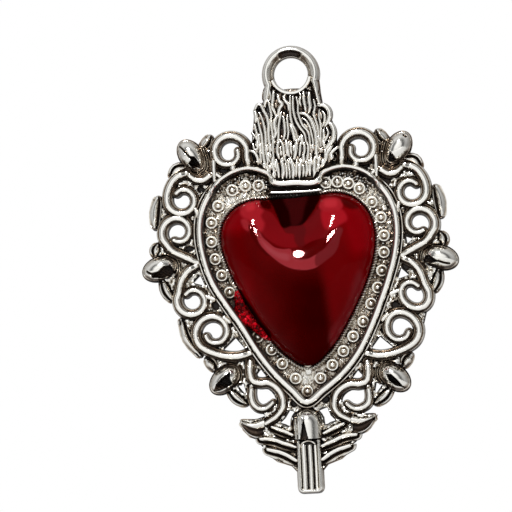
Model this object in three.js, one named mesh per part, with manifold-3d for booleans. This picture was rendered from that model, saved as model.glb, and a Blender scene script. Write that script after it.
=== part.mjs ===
// Sacred heart charm: a red heart stone in a pierced silver frame, under a flame that carries the
// suspension eye. Millimetres, +Z up, front towards -Y, origin at the centre of the eye.
//
// The charm is drawn flat, as (across, up, height above the back), and stood up at the end.
// Everything stands on one pierced back plate. A flank point is written (out, up), with out the
// distance from the middle line, so one list serves the left side and the right.
import * as THREE from "three";
import { mergeVertices, toCreasedNormals } from "three/addons/utils/BufferGeometryUtils.js";
import Module from "manifold-3d";

const wasm = await Module();
wasm.setup();

// Heights
const PLATE_THICK = 0.9;
const STRIP_THICK = 0.4;
const WIRE_RISE = 1.35;
const RIM_RISE = 1.25;
const BEZEL_RISE = 0.75;
const BEAD_RISE = 0.45;
const LEAF_RISE = 1.05;
const BUD_RISE = 2.2;
const FLAME_BED = 0.9;
const FLAME_RISE = 1.9;
const EYE_RISE = 1.3;
const CAP_RISE = 2.4;
const SKIRT_RISE = 1.6;
const FEATHER_RISE = 1.2;
const POOL_RISE = 1.0;
const STONE_RISE = 4.3;

// Widths and clearances
const LEDGE = 0.25; // plate that shows beyond what stands on it
const SEAM = 0.25; // between neighbours that stand side by side
const WIRE_WIDTH = 0.92;
const COIL_GAP = 0.22; // between the turns of a volute
const END_LOSS = 0.45; // share of its width that a wire loses by its end
const TIP_LOSS = 0.8; // the same for a pointed wire, which swells first
const SWELL = 0.4;
const RIM_WIDTH = 0.66;
const BEZEL_WIDTH = 0.45;
const STONE_FIT = 0.1; // between the stone's girdle and its bezel
const STONE_SEAT = 0.7; // of the strip under the girdle
const CLEFT_BAR_WIDTH = 0.42;

// Suspension eye
const EYE_BORE = 4.1;
const EYE_WIRE = 1.15;
const EYE_SILL = 0.6; // the thin stretch under the bore
const EYE_LEG = 0.75;
const EYE_ARCH = [-10, 208]; // angles where the arch starts and ends
const SILL_ARCH = [200, 345];
const DROP_LENGTH = 1.9;
const DROP_WIDTH = 1.0;
const DROP_WIRE = 0.34;
const DROP_TAPER = 0.35;
const DROP_PLACE = [-2.85, -2.35];

// Flame: wavy tongues, from the left to the right, side by side on a bed
const FLAME_FOOT = -12.3; // on the middle line: the foot rises to both sides by its bow
const FLAME_FOOT_BOW = 0.045;
const FLAME_SPREAD = 4.25;
const FLAME_GATHER = 0.1;
const TONGUE_WIDTH = 0.7;
const TONGUE_FALL = 0.35; // from its foot to its tip
const TONGUE_WAVE = 0.2;
const TONGUE_WAVE_LENGTH = 5.4;
const TONGUE_TIPS = [
  -4.6, -3.8, -6.4, -3.2, -4.9, -2.7, -5.9, -2.7, -4.4, -3.0, -6.8, -4.1, -5.2,
];

// Ring-and-dot bosses of the border
const BEAD_DIAMETER = 1.3;
const BEAD_PITCH = 2.15;
const BEAD_INSET = 1.08; // from the middle of the rim
const BEAD_REACH = 6.9; // from the middle line, at the lobes

// Buds
const BUD_LENGTH = 4.0;
const BUD_WIDTH = 2.6;
const BUD_CLEFT = 0.75; // width of the fold at its wide end
const BUD_CLEFT_FLOOR = 0.35; // of the bud's rise

// Tassel
const CAP_WIDTH = 3.7;
const CAP_LENGTH = 3.9;
const CAP_SLIT = 0.6; // at the mouth, from where it narrows to a point
const CAP_SLIT_LENGTH = 2.45;
const CAP_SLIT_PLACE = -0.4; // beside the middle of the cap
const SKIRT_WIDTH = 2.7;
const SKIRT_LENGTH = 6.1;
const SKIRT_WALL = 0.42;
const SKIRT_CORNER = 0.6;
const FLUTE_COUNT = 3;

// Right flank: it hangs lower than the left one, and below the waist lower still and further out
const DROP_DOWN = 0.35;
const LEAN_OUT = 0.95;
const LEAN_DOWN = 0.35;

// Stone, which is set a little askew
const STONE_TURN = 2.4;
const GIRDLE = 0.35; // upright edge of the stone
const VALLEY_SHARE = 0.92; // of the rise that the fold takes away at the top edge
const VALLEY_WIDTH = 2.5;
const VALLEY_END = -21.5;

const LEFT = -1;
const RIGHT = 1;
const SIDES = [LEFT, RIGHT];
const SIDE_NAME = { [LEFT]: "left", [RIGHT]: "right" };
const COIL_PITCH = WIRE_WIDTH + COIL_GAP;
const STRIP_TOP = PLATE_THICK + STRIP_THICK;
const EYE_RADIUS = (EYE_BORE + EYE_WIRE) / 2;
const CAP_TOP = -40.2;
const SKIRT_TOP = CAP_TOP - CAP_LENGTH;
const SKIRT_FOOT = SKIRT_TOP - SKIRT_LENGTH;

// Outlines and centre lines
const RIM_LINE = [
  [0, -13.1], [2.3, -13.0], [3.6, -12.0], [5.6, -11.4], [7.6, -11.85], [9.35, -12.95],
  [10.75, -14.4], [11.6, -16.3], [11.9, -19], [11.5, -21.9], [10.6, -24.7], [9.0, -27.5],
  [7.4, -30.0], [5.7, -33.0], [3.9, -35.6], [1.7, -38.0], [0, -39.55],
];
const STONE_LINE = [
  [0, -15.35], [1.7, -15.1], [3.4, -14.9], [5.2, -14.85], [7.2, -15.6], [8.7, -17.3],
  [9.3, -19.6], [9.0, -22.4], [8.0, -25.2], [5.4, -29.9], [2.6, -33.6], [0, -35.2],
];
const FLAME_LEFT = [
  [2.2, -2.1], [3.2, -3.3], [4.0, -3.75], [4.4, -4.6], [4.55, -5.8], [4.75, -7.0], [4.85, -8.2],
  [4.7, -10.6], [2.6, -12.9],
];
const FLAME_RIGHT = [
  [2.0, -2.0], [2.85, -3.3], [3.5, -4.0], [4.2, -4.45], [4.4, -5.2], [4.35, -5.9], [4.75, -6.5],
  [4.95, -7.5], [4.9, -8.6], [4.7, -10.6], [2.6, -12.9],
];
const EYE_FOOT = [[2.78, -1.4], [2.88, -2.4], [3.05, -3.6]];

// Scroll wires of a flank, in the order in which one butts against another. A volute winds in by
// one coil pitch a turn, times its wind.
const SCROLLS = [
  {
    name: "upper_curl",
    stem: [[5.6, -10.7]],
    volute: { centre: [7.85, -9.1], radius: 2.22, from: 195, turn: -385, wind: 0.95 },
  },
  { name: "curl_leg", stem: [[9.75, -10.0], [9.75, -12.3]], width: 0.6 },
  { name: "bud_cradle", stem: [[10.4, -11.8], [11.2, -12.25], [12.1, -12.1], [12.75, -11.6]] },
  {
    name: "shoulder_scroll",
    stem: [[13.1, -11.3], [14.3, -11.7], [15.15, -12.7]],
    volute: { centre: [13.75, -14.45], radius: 1.88, from: 15, turn: -325, wind: 0.8 },
  },
  {
    name: "side_scroll",
    stem: [[12.3, -22.1], [13.9, -21.3], [15.2, -20.6]],
    volute: { centre: [14.5, -18.35], radius: 1.98, from: -48, turn: 345, wind: 0.85 },
  },
  {
    name: "waist_scroll",
    stem: [[12.5, -22.5], [13.4, -23.0], [14.3, -24.1]],
    volute: { centre: [13.1, -26.65], radius: 1.9, from: 32, turn: -345, wind: 0.72 },
  },
  {
    name: "hip_scroll",
    stem: [[6.5, -33.3], [8.0, -33.65], [9.6, -33.5]],
    volute: { centre: [10.75, -30.6], radius: 2.3, from: -70, turn: 405, wind: 1.0 },
  },
  {
    name: "foot_scroll",
    stem: [
      [6.55, -34.4], [6.6, -35.7], [6.3, -36.6], [5.5, -36.95], [4.5, -36.95], [3.6, -37.5],
      [3.0, -38.3], [2.8, -39.2], [3.0, -40.2], [3.8, -41.1], [5.0, -41.8], [6.5, -42.12],
      [7.95, -41.6],
    ],
    pointed: true,
  },
  {
    name: "foot_curl",
    stem: [
      [6.5, -37.3], [6.6, -38.3], [6.4, -39.3], [5.8, -39.95], [5.1, -40.05], [4.5, -39.75],
      [4.05, -39.35],
    ],
    width: 0.7,
  },
];

// The plate behind a flank reaches from the middle line out to the wires along its edge
const BACKING = [
  [0, -10], [4.6, -9.3], [6.3, -8.0], [7.9, -7.3], [9.4, -8.0], [10.6, -8.2], [12.4, -9.0],
  [13.5, -10.9], [15.0, -12.9], [15.6, -14.4], [16.8, -14.8], [17.0, -16.8], [16.1, -18.4],
  [16.7, -20.0], [17.1, -20.6], [16.9, -22.6], [16.2, -24.8], [15.0, -26.6], [14.6, -27.9],
  [14.1, -29.0], [13.6, -30.2], [12.3, -32.4], [11.2, -34.2], [9.8, -36.0], [8.3, -38.3],
  [6.7, -38.9], [6.0, -40.0], [4.6, -41.4], [3.0, -42.4], [0, -42.5],
];

// The plate behind the feathers of a wing
const WING = [
  [1.2, -42.4], [4.6, -41.8], [6.3, -42.1], [8.15, -41.3], [7.9, -42.5], [7.1, -43.4],
  [6.0, -43.75], [5.7, -44.5], [5.1, -44.95], [4.6, -45.9], [3.9, -46.5], [3.2, -46.75],
  [2.2, -47.1], [1.5, -47.9], [1.2, -47.9],
];

// Openings of the plate beside those in the eyes of the volutes
const PIERCINGS = [
  { outline: [[13.7, -20.2], [12.9, -19.9], [13.0, -20.7]], side: RIGHT },
  { outline: [[12.95, -24.5], [12.1, -23.65], [11.6, -24.9]] },
  { outline: [[9.7, -32.75], [8.2, -31.4], [7.0, -32.9], [8.5, -33.3]] },
  { outline: [[5.85, -36.4], [5.85, -35.9], [5.35, -35.3], [4.6, -36.4]] },
  { outline: [[8.15, -37.15], [7.5, -36.9], [7.15, -38.5]] },
  { outline: [[6.2, -37.6], [3.6, -37.6], [3.2, -38.8], [4.2, -39.6], [5.8, -39.8], [6.5, -39.0]] },
  { outline: [[1.5, -40.6], [2.1, -40.4], [3.5, -41.7], [2.1, -42.4], [1.9, -41.8]], side: LEFT },
  { outline: [[1.2, -40.5], [2.9, -39.5], [3.5, -41.9], [2.0, -42.4], [1.9, -41.3]], side: RIGHT },
];

const BUDS = [
  {
    name: "upper_bud", centre: [12.4, -9.3], turn: 57, fold: [[11.7, -10.9], [12.6, -9.2]],
    leaves: [
      { from: [11.2, -8.4], to: [10.15, -7.1], bow: 0.1 },
      { from: [13.3, -10.5], to: [14.95, -11.6], bow: 0.35 },
    ],
  },
  {
    name: "middle_bud", centre: [16.9, -22.6], turn: -18, fold: [[15.5, -22.6], [17.9, -23.4]],
    leaves: [
      { from: [17.1, -19.8], to: [17.35, -21.0], bow: 0.1 },
      { from: [16.6, -24.2], to: [15.6, -26.4], bow: 0.15 },
    ],
  },
  {
    name: "lower_bud", centre: [9.7, -36.3], turn: -42, fold: [[9.0, -35.9], [10.9, -37.7]],
    leaves: [
      { from: [10.9, -35.0], to: [11.75, -33.8], bow: 0.1 },
      { from: [9.15, -37.7], to: [7.4, -39.3], bow: 0.15 },
    ],
  },
];
const SIDE_LEAF = { from: [16.75, -14.2], to: [17.2, -17.5], bow: 0.1, width: 1.2 };
const BLADE_LEAF = { from: [14.55, -28.9], to: [12.55, -33.2], bow: 0.45, width: 0.95 };
const LEAF_WIDTH = 1.1;

const FEATHERS = [
  { name: "upper_feather", from: [4.2, -42.35], to: [1.95, -43.3], width: 0.9 },
  { name: "middle_feather", from: [5.7, -43.75], to: [1.7, -44.8], width: 0.9 },
  { name: "lower_feather", from: [4.8, -45.05], to: [1.65, -46.5], width: 0.95 },
];
const FEATHER_BOW = -0.2;

// Red enamel that ran over the border on the left, hugging the bezel
const POOL_LINE = [[8.7, -25.2], [7.4, -28.3], [4.9, -32.0]];
const POOL_WIDTH = 2.6;

// Finishes
const finish = (colour, roughness, metalness) =>
  new THREE.MeshStandardMaterial({ color: colour, roughness, metalness });
const polished = finish(0xd9d5d0, 0.22, 1);
const antiqued = finish(0x8d857e, 0.45, 1);
const redGlass = finish(0x9c0610, 0.08, 0);
const redEnamel = finish(0xa01018, 0.35, 0);
const cement = finish(0x5b4a40, 0.8, 0);

// Cross sections of a wire, as shares of its half width and of its rise
const ROUND_TOP = [[-1, 0], [-1, 0.45], [-0.5, 1], [0.5, 1], [1, 0.45], [1, 0]];
const KEEL_TOP = [[-1, 0], [-1, 0.4], [0, 1], [1, 0.4], [1, 0]];
const SQUARE = [[-1, 0], [-1, 1], [1, 1], [1, 0]];
const WIRE_STEP = 0.72;
const KEEP_OUT_TOP = 20;
const FINEST = 0.01; // smallest step kept in a surface
const FINEST_IN_PLATE = 0.04;

const smooth = (value, start, end) => THREE.MathUtils.smoothstep(value, start, end);
const vector = ([across, up]) => new THREE.Vector2(across, up);

// A flank point in the drawing. Its lean grows below the waist and ends above the feet.
function flank(side, [out, up]) {
  if (side === LEFT) return new THREE.Vector2(-out, up);
  const clear = smooth(up, -42.2, -39) * Math.min(1, out / 5);
  const lean = clear * (1 - smooth(up, -31, -24));
  return new THREE.Vector2(
    out + LEAN_OUT * lean, up - DROP_DOWN * clear - LEAN_DOWN * lean,
  );
}

const solidOf = (geometry) => {
  const bare = geometry.clone();
  bare.deleteAttribute("normal");
  bare.deleteAttribute("uv");
  const merged = mergeVertices(bare, 1e-4);
  return new wasm.Manifold(new wasm.Mesh({
    numProp: 3,
    vertProperties: merged.attributes.position.array,
    triVerts: new Uint32Array(merged.index.array),
  }));
};

function geometryOf(solid) {
  const { vertProperties, triVerts } = solid.getMesh();
  const geometry = new THREE.BufferGeometry();
  geometry.setAttribute("position", new THREE.BufferAttribute(vertProperties, 3));
  geometry.setIndex(new THREE.BufferAttribute(triVerts, 1));
  return toCreasedNormals(geometry, 0.6);
}

const joined = (solids) => solids.reduce((whole, next) => whole.add(next));

// Without the marks that its makings leave in its flat faces
const refined = (solid, finest = FINEST) => solid.asOriginal().simplify(finest);

// What is left of a trimmed piece is its largest body: the offcuts go
function largest(solid) {
  const bodies = solid.decompose();
  return bodies.reduce((best, next) => (next.volume() > best.volume() ? next : best));
}

function meshed(vertices, faces) {
  const geometry = new THREE.BufferGeometry();
  geometry.setAttribute("position", new THREE.Float32BufferAttribute(vertices, 3));
  geometry.setIndex(faces);
  return solidOf(geometry);
}

// A curve through drawing points, and evenly spaced points along it
function curveThrough(points, closed = false) {
  const places = points.map(({ x, y }) => new THREE.Vector3(x, y, 0));
  return new THREE.CatmullRomCurve3(places, closed, "centripetal");
}

function spaced(points, step = WIRE_STEP, closed = false) {
  const curve = curveThrough(points, closed);
  const count = Math.max(4, Math.round(curve.getLength() / step));
  const line = curve.getSpacedPoints(count).map(({ x, y }) => new THREE.Vector2(x, y));
  return closed ? line.slice(0, -1) : line;
}

// The sideways direction at each point of a line, lengthened at a corner so that the wire keeps
// its width there
function sideways(line, closed) {
  return line.map((point, index) => {
    const last = line.length - 1;
    const before = closed ? line.at(index - 1) : line[Math.max(0, index - 1)];
    const after = closed ? line[(index + 1) % line.length] : line[Math.min(last, index + 1)];
    const into = point.clone().sub(before).normalize();
    const out = after.clone().sub(point).normalize();
    const along = into.clone().add(out).normalize();
    const straight = into.lengthSq() * out.lengthSq() > 0 ? along.dot(out) : 1;
    return new THREE.Vector2(-along.y, along.x).divideScalar(Math.max(0.6, straight));
  });
}

// A section drawn along a line: halfWidth and rise may change along it
function ribbon(line, { halfWidth, base, rise, section = ROUND_TOP, closed = false }) {
  const normals = sideways(line, closed);
  const size = section.length;
  const vertices = line.flatMap((point, index) => {
    const share = index / (line.length - 1);
    return section.flatMap(([across, high]) => {
      const place = point.clone().addScaledVector(normals[index], across * halfWidth(share));
      return [place.x, place.y, base + high * rise(share)];
    });
  });
  const faces = [];
  const spans = closed ? line.length : line.length - 1;
  for (let span = 0; span < spans; span += 1) {
    const near = span * size;
    const far = ((span + 1) % line.length) * size;
    for (let corner = 0; corner < size; corner += 1) {
      const next = (corner + 1) % size;
      faces.push(near + corner, far + corner, far + next, near + corner, far + next, near + next);
    }
  }
  if (!closed) {
    const end = (line.length - 1) * size;
    for (let corner = 1; corner < size - 1; corner += 1) {
      faces.push(0, corner, corner + 1, end, end + corner + 1, end + corner);
    }
  }
  return meshed(vertices, faces);
}

const steady = (value) => () => value;

// A flat strip along a line, for what lies under a wire or keeps clear of it
function strip(line, halfWidth, low, high, closed = false) {
  return ribbon(line, {
    halfWidth: steady(halfWidth), base: low, rise: steady(high - low), section: SQUARE, closed,
  });
}

// The line with its two ends drawn out
function drawnOut(line, length) {
  const first = line[0].clone().sub(line[1]).setLength(length).add(line[0]);
  const last = line.at(-1).clone().sub(line.at(-2)).setLength(length).add(line.at(-1));
  return [first, ...line, last];
}

function prism(points, low, high) {
  const geometry = new THREE.ExtrudeGeometry(new THREE.Shape(points), {
    depth: high - low, bevelEnabled: false,
  });
  return solidOf(geometry.translate(0, 0, low));
}

function disc(centre, radius, low, high, sides = 20) {
  const geometry = new THREE.CylinderGeometry(radius, radius, high - low, sides);
  geometry.rotateX(Math.PI / 2).translate(centre.x, centre.y, (low + high) / 2);
  return solidOf(geometry);
}

// Both halves of a closed line that starts and ends on the middle line
function heartLine(points, place, step) {
  const right = points.map((point) => place(RIGHT, point));
  const left = points.slice(1, -1).map((point) => place(LEFT, point)).reverse();
  return spaced([...right, ...left], step, true);
}

// The line moved sideways, outwards where distance is positive
function offset(line, distance) {
  const turn = THREE.ShapeUtils.isClockWise(line) ? 1 : -1;
  const normals = sideways(line, true);
  return line.map((point, index) =>
    point.clone().addScaledVector(normals[index], turn * distance));
}

const rimLine = heartLine(RIM_LINE, flank, 1.3);
const rimOuter = offset(rimLine, RIM_WIDTH / 2);

const stoneMiddle = new THREE.Vector2(0.05, -24);
const stoneLine = heartLine(
  STONE_LINE,
  (side, [out, up]) => new THREE.Vector2(side * out, up)
    .rotateAround(stoneMiddle, THREE.MathUtils.degToRad(STONE_TURN)),
  1.0,
);
const bezelLine = offset(stoneLine, STONE_FIT + BEZEL_WIDTH / 2);
const seatLine = offset(stoneLine, -STONE_SEAT);

// Everything that stands on the plate has a form, and a footprint that can be grown
const standing = [];

function stand(name, material, footprint, form) {
  standing.push({ name, material, footprint, form });
}

// A wire thins towards its end. A pointed one swells first, and its tip is a blade.
function standWire(name, material, line, { width, rise, pointed = false }) {
  const taper = (share) => {
    const end = pointed ? 1 - TIP_LOSS * smooth(share, 0.86, 1) : 1 - END_LOSS * share ** 3;
    const swell = pointed ? 1 + SWELL * smooth(share, 0.25, 0.5) : 1;
    return (width / 2) * end * swell;
  };
  stand(
    name,
    material,
    (grow, low, high) => ribbon(drawnOut(line, Math.max(grow, 0.05)), {
      halfWidth: (share) => taper(share) + grow,
      base: low,
      rise: steady(high - low),
      section: SQUARE,
    }),
    () => ribbon(line, { halfWidth: taper, base: PLATE_THICK, rise: steady(rise) }),
  );
}

// Heart: the strip, rim, bezel, bosses and stone share one footprint
stand(
  "heart",
  null,
  (grow, low, high) => prism(offset(rimLine, RIM_WIDTH / 2 + grow), low, high),
  null,
);

// Suspension eye: an arch with a thin sill, a plain right leg and a drop loop as the left leg
function arc(centre, radius, from, to, count) {
  return Array.from({ length: count + 1 }, (_, index) => {
    const angle = THREE.MathUtils.degToRad(from + ((to - from) * index) / count);
    return new THREE.Vector2(Math.cos(angle), Math.sin(angle)).multiplyScalar(radius).add(centre);
  });
}
const eyeCentre = new THREE.Vector2(0, 0);
const eyeArch = [
  ...EYE_FOOT.map(vector).reverse(),
  ...arc(eyeCentre, EYE_RADIUS, ...EYE_ARCH, 22),
];
const eyeArchHalf = (share) =>
  THREE.MathUtils.lerp(EYE_LEG, EYE_WIRE, smooth(share, 0.02, 0.2)) / 2;
const eyeSill = arc(eyeCentre, (EYE_BORE + EYE_SILL) / 2, ...SILL_ARCH, 12);
const eyeBore = disc(eyeCentre, EYE_BORE / 2, -1, KEEP_OUT_TOP, 40);
stand(
  "suspension_ring",
  polished,
  (grow, low, high) => ribbon(eyeArch, {
    halfWidth: (share) => eyeArchHalf(share) + grow,
    base: low,
    rise: steady(high - low),
    section: SQUARE,
  })
    .add(strip(eyeSill, EYE_SILL / 2 + grow, low, high))
    .subtract(eyeBore),
  () => ribbon(eyeArch, {
    halfWidth: eyeArchHalf, base: PLATE_THICK, rise: steady(EYE_RISE),
  })
    .add(ribbon(eyeSill, {
      halfWidth: steady(EYE_SILL / 2), base: PLATE_THICK, rise: steady(EYE_RISE * 0.8),
    }))
    .subtract(eyeBore),
);

const DROP_SIDES = 14;
const dropLine = Array.from({ length: DROP_SIDES }, (_, index) => {
  const angle = (index / DROP_SIDES) * Math.PI * 2;
  const narrow = 1 - DROP_TAPER * Math.sin(angle);
  return new THREE.Vector2(
    ((DROP_WIDTH - DROP_WIRE) / 2) * narrow * Math.cos(angle),
    ((DROP_LENGTH - DROP_WIRE) / 2) * Math.sin(angle),
  ).add(vector(DROP_PLACE));
});
stand(
  "ring_drop",
  polished,
  (grow, low, high) => prism(offset(dropLine, DROP_WIRE / 2 + grow), low, high),
  () => ribbon(dropLine, {
    halfWidth: steady(DROP_WIRE / 2), base: PLATE_THICK, rise: steady(EYE_RISE), closed: true,
  }),
);

// Flame: a bed with wavy tongues that rise from its foot to staggered tips
const flameOutline = spaced([
  ...FLAME_RIGHT.map(([out, up]) => new THREE.Vector2(out, up)),
  ...FLAME_LEFT.map(([out, up]) => new THREE.Vector2(-out, up)).reverse(),
], 0.9, true);

// A tongue licks up between its foot and its tip, gathers towards the middle and waves as it goes
function tongue(tip, index) {
  const across = THREE.MathUtils.lerp(
    -FLAME_SPREAD, FLAME_SPREAD, index / (TONGUE_TIPS.length - 1),
  );
  const foot = FLAME_FOOT + FLAME_FOOT_BOW * across ** 2;
  const steps = 8;
  const spine = Array.from({ length: steps + 1 }, (_, step) => {
    const share = step / steps;
    const up = THREE.MathUtils.lerp(foot, tip, share);
    const wave = TONGUE_WAVE * Math.sin((up * 2 * Math.PI) / TONGUE_WAVE_LENGTH + index * 2.1);
    return new THREE.Vector2(across * (1 - FLAME_GATHER * share) + wave, up);
  });
  return ribbon(spine, {
    halfWidth: (share) => (TONGUE_WIDTH / 2) * (1 - 0.6 * share ** 4),
    base: PLATE_THICK,
    rise: (share) => FLAME_RISE - TONGUE_FALL * share,
    section: KEEL_TOP,
  });
}

stand(
  "flame_crest",
  antiqued,
  (grow, low, high) => prism(offset(flameOutline, grow), low, high),
  () => {
    const bed = prism(flameOutline, PLATE_THICK, PLATE_THICK + FLAME_BED);
    return joined([bed, ...TONGUE_TIPS.map(tongue)])
      .intersect(prism(flameOutline, 0, KEEP_OUT_TOP));
  },
);

// Tassel cap: a bullet-shaped dome with a slit at its mouth
const capMiddle = new THREE.Vector2(-0.05, CAP_TOP - CAP_WIDTH / 2);
stand(
  "tassel_cap",
  polished,
  (grow, low, high) => {
    const half = CAP_WIDTH / 2 + grow;
    const mouth = SKIRT_TOP + SEAM - grow;
    return prism([
      ...arc(capMiddle, half, 0, 180, 12),
      new THREE.Vector2(capMiddle.x - half, mouth),
      new THREE.Vector2(capMiddle.x + half, mouth),
    ], low, high);
  },
  () => {
    const dome = new THREE.SphereGeometry(CAP_WIDTH / 2, 16, 8).rotateX(Math.PI / 2);
    dome.scale(1, 1, CAP_RISE / (CAP_WIDTH / 2)).translate(capMiddle.x, capMiddle.y, PLATE_THICK);
    const body = new THREE.CylinderGeometry(
      CAP_WIDTH / 2, CAP_WIDTH / 2, capMiddle.y - SKIRT_TOP - SEAM, 16,
    );
    body.scale(1, 1, CAP_RISE / (CAP_WIDTH / 2));
    body.translate(capMiddle.x, (capMiddle.y + SKIRT_TOP + SEAM) / 2, PLATE_THICK);
    const slitMiddle = capMiddle.x + CAP_SLIT_PLACE;
    const slit = prism([
      new THREE.Vector2(slitMiddle, SKIRT_TOP + CAP_SLIT_LENGTH),
      new THREE.Vector2(slitMiddle - CAP_SLIT / 2, SKIRT_TOP),
      new THREE.Vector2(slitMiddle + CAP_SLIT / 2, SKIRT_TOP),
    ], PLATE_THICK + CAP_RISE / 2, KEEP_OUT_TOP);
    const bench = prism(arc(capMiddle, CAP_WIDTH * 3, 0, 330, 11), PLATE_THICK, KEEP_OUT_TOP);
    return solidOf(dome).add(solidOf(body)).intersect(bench).subtract(slit);
  },
);

// Tassel skirt: a walled tray with an arched head and flutes inside
function roundedBar(left, right, foot, head, corner) {
  const shape = new THREE.Shape();
  shape.moveTo(left, head);
  shape.lineTo(left, foot + corner);
  shape.quadraticCurveTo(left, foot, left + corner, foot);
  shape.lineTo(right - corner, foot);
  shape.quadraticCurveTo(right, foot, right, foot + corner);
  shape.lineTo(right, head);
  return shape.getPoints(4);
}

stand(
  "tassel_skirt",
  antiqued,
  (grow, low, high) => prism(roundedBar(
    -SKIRT_WIDTH / 2 - grow, SKIRT_WIDTH / 2 + grow, SKIRT_FOOT - grow, SKIRT_TOP,
    SKIRT_CORNER + grow,
  ), low, high),
  () => {
    const half = SKIRT_WIDTH / 2;
    const well = half - SKIRT_WALL;
    const floor = PLATE_THICK + SKIRT_RISE / 2;
    const top = PLATE_THICK + SKIRT_RISE;
    const tray = prism(
      roundedBar(-half, half, SKIRT_FOOT, SKIRT_TOP, SKIRT_CORNER), PLATE_THICK, top,
    );
    const archMiddle = new THREE.Vector2(0, SKIRT_TOP - SKIRT_WALL - well);
    const recess = prism([
      ...arc(archMiddle, well, 0, 180, 10),
      new THREE.Vector2(-well, SKIRT_FOOT + SKIRT_WALL),
      new THREE.Vector2(well, SKIRT_FOOT + SKIRT_WALL),
    ], floor, top + 1);
    const pitch = (well * 2) / FLUTE_COUNT;
    const flutes = Array.from({ length: FLUTE_COUNT }, (_, index) => {
      const across = (index - (FLUTE_COUNT - 1) / 2) * pitch;
      const line = [
        new THREE.Vector2(across, SKIRT_TOP - SKIRT_WALL * 2),
        new THREE.Vector2(across, SKIRT_FOOT + SKIRT_WALL / 2),
      ];
      return ribbon(line, {
        halfWidth: steady(pitch * 0.3), base: floor - 0.2, rise: steady(SKIRT_RISE / 2),
      });
    });
    return joined([tray.subtract(recess), ...flutes]);
  },
);

// A leaf: a lens-shaped ridge between two points, bowed sideways
function leafLine(side, { from, to, bow }) {
  const start = flank(side, from);
  const end = flank(side, to);
  const along = end.clone().sub(start);
  const middle = start.clone().addScaledVector(along, 0.5);
  middle.add(new THREE.Vector2(-along.y, along.x).setLength(bow * side));
  return spaced([start, middle, end], along.length() / 6);
}

function standLeaf(name, side, leaf, width, rise) {
  const line = leafLine(side, leaf);
  const lens = (share) => (width / 2) * (0.35 + 0.65 * Math.sin(Math.PI * share) ** 0.7);
  stand(
    name,
    polished,
    (grow, low, high) => ribbon(drawnOut(line, Math.max(grow, 0.05)), {
      halfWidth: (share) => lens(share) + grow,
      base: low,
      rise: steady(high - low),
      section: SQUARE,
    }),
    () => ribbon(line, {
      halfWidth: lens, base: PLATE_THICK, rise: steady(rise), section: KEEL_TOP,
    }),
  );
}

// A folded bud: a plump oval dome with a fold that narrows from its wide end
function standBud(side, { name, centre, turn, fold }) {
  const middle = flank(side, centre);
  const angle = THREE.MathUtils.degToRad(side === LEFT ? 180 - turn : turn);
  const oval = (grow) => arc(new THREE.Vector2(), 1, 0, 342, 19).map((point) =>
    point.multiply(new THREE.Vector2(BUD_LENGTH / 2 + grow, BUD_WIDTH / 2 + grow))
      .rotateAround(new THREE.Vector2(), angle).add(middle));
  stand(
    `${name}_${SIDE_NAME[side]}`,
    polished,
    (grow, low, high) => prism(oval(grow), low, high),
    () => {
      const dome = new THREE.SphereGeometry(1, 14, 10).rotateX(Math.PI / 2);
      dome.scale(BUD_LENGTH / 2, BUD_WIDTH / 2, BUD_RISE);
      dome.rotateZ(angle).translate(middle.x, middle.y, PLATE_THICK);
      const [wide, narrow] = fold.map((point) => flank(side, point));
      const across = narrow.clone().sub(wide).rotateAround(new THREE.Vector2(), Math.PI / 2)
        .setLength(BUD_CLEFT / 2);
      const wedge = prism(
        [wide.clone().add(across), narrow, wide.clone().sub(across)],
        PLATE_THICK + BUD_RISE * BUD_CLEFT_FLOOR,
        KEEP_OUT_TOP,
      );
      return solidOf(dome).intersect(prism(oval(1), PLATE_THICK, KEEP_OUT_TOP)).subtract(wedge);
    },
  );
}

// A volute winds in by one coil pitch a turn, slowly at first
function voluteLine({ centre, radius, from, turn, wind }) {
  const turns = Math.abs(turn) / 360;
  const count = Math.round(turns * 12);
  return Array.from({ length: count + 1 }, (_, index) => {
    const share = index / count;
    const reach = radius - wind * COIL_PITCH * turns * share ** 1.3;
    const angle = THREE.MathUtils.degToRad(from + turn * share);
    return [centre[0] + reach * Math.cos(angle), centre[1] + reach * Math.sin(angle)];
  });
}

function scrollLine(side, { stem, volute }) {
  const points = volute ? [...stem, ...voluteLine(volute)] : stem;
  return spaced(points.map((point) => flank(side, point)));
}

for (const side of SIDES) {
  for (const scroll of SCROLLS) {
    standWire(`${scroll.name}_${SIDE_NAME[side]}`, polished, scrollLine(side, scroll), {
      width: scroll.width ?? WIRE_WIDTH, rise: WIRE_RISE, pointed: scroll.pointed,
    });
  }
  for (const bud of BUDS) {
    standBud(side, bud);
    standLeaf(
      `${bud.name}_upper_leaf_${SIDE_NAME[side]}`, side, bud.leaves[0], LEAF_WIDTH, LEAF_RISE,
    );
    standLeaf(
      `${bud.name}_lower_leaf_${SIDE_NAME[side]}`, side, bud.leaves[1], LEAF_WIDTH, LEAF_RISE,
    );
  }
  standLeaf(`side_leaf_${SIDE_NAME[side]}`, side, SIDE_LEAF, SIDE_LEAF.width, LEAF_RISE);
  for (const feather of FEATHERS) {
    standLeaf(
      `${feather.name}_${SIDE_NAME[side]}`, side,
      { ...feather, bow: FEATHER_BOW }, feather.width, FEATHER_RISE,
    );
  }
}
standLeaf("blade_leaf_left", LEFT, BLADE_LEAF, BLADE_LEAF.width, LEAF_RISE);

// The plate: the footprints of all that stands on it, with a ledge, and the backing between
const outlineOf = (side, points) => points.map((point) => flank(side, point));

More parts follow.
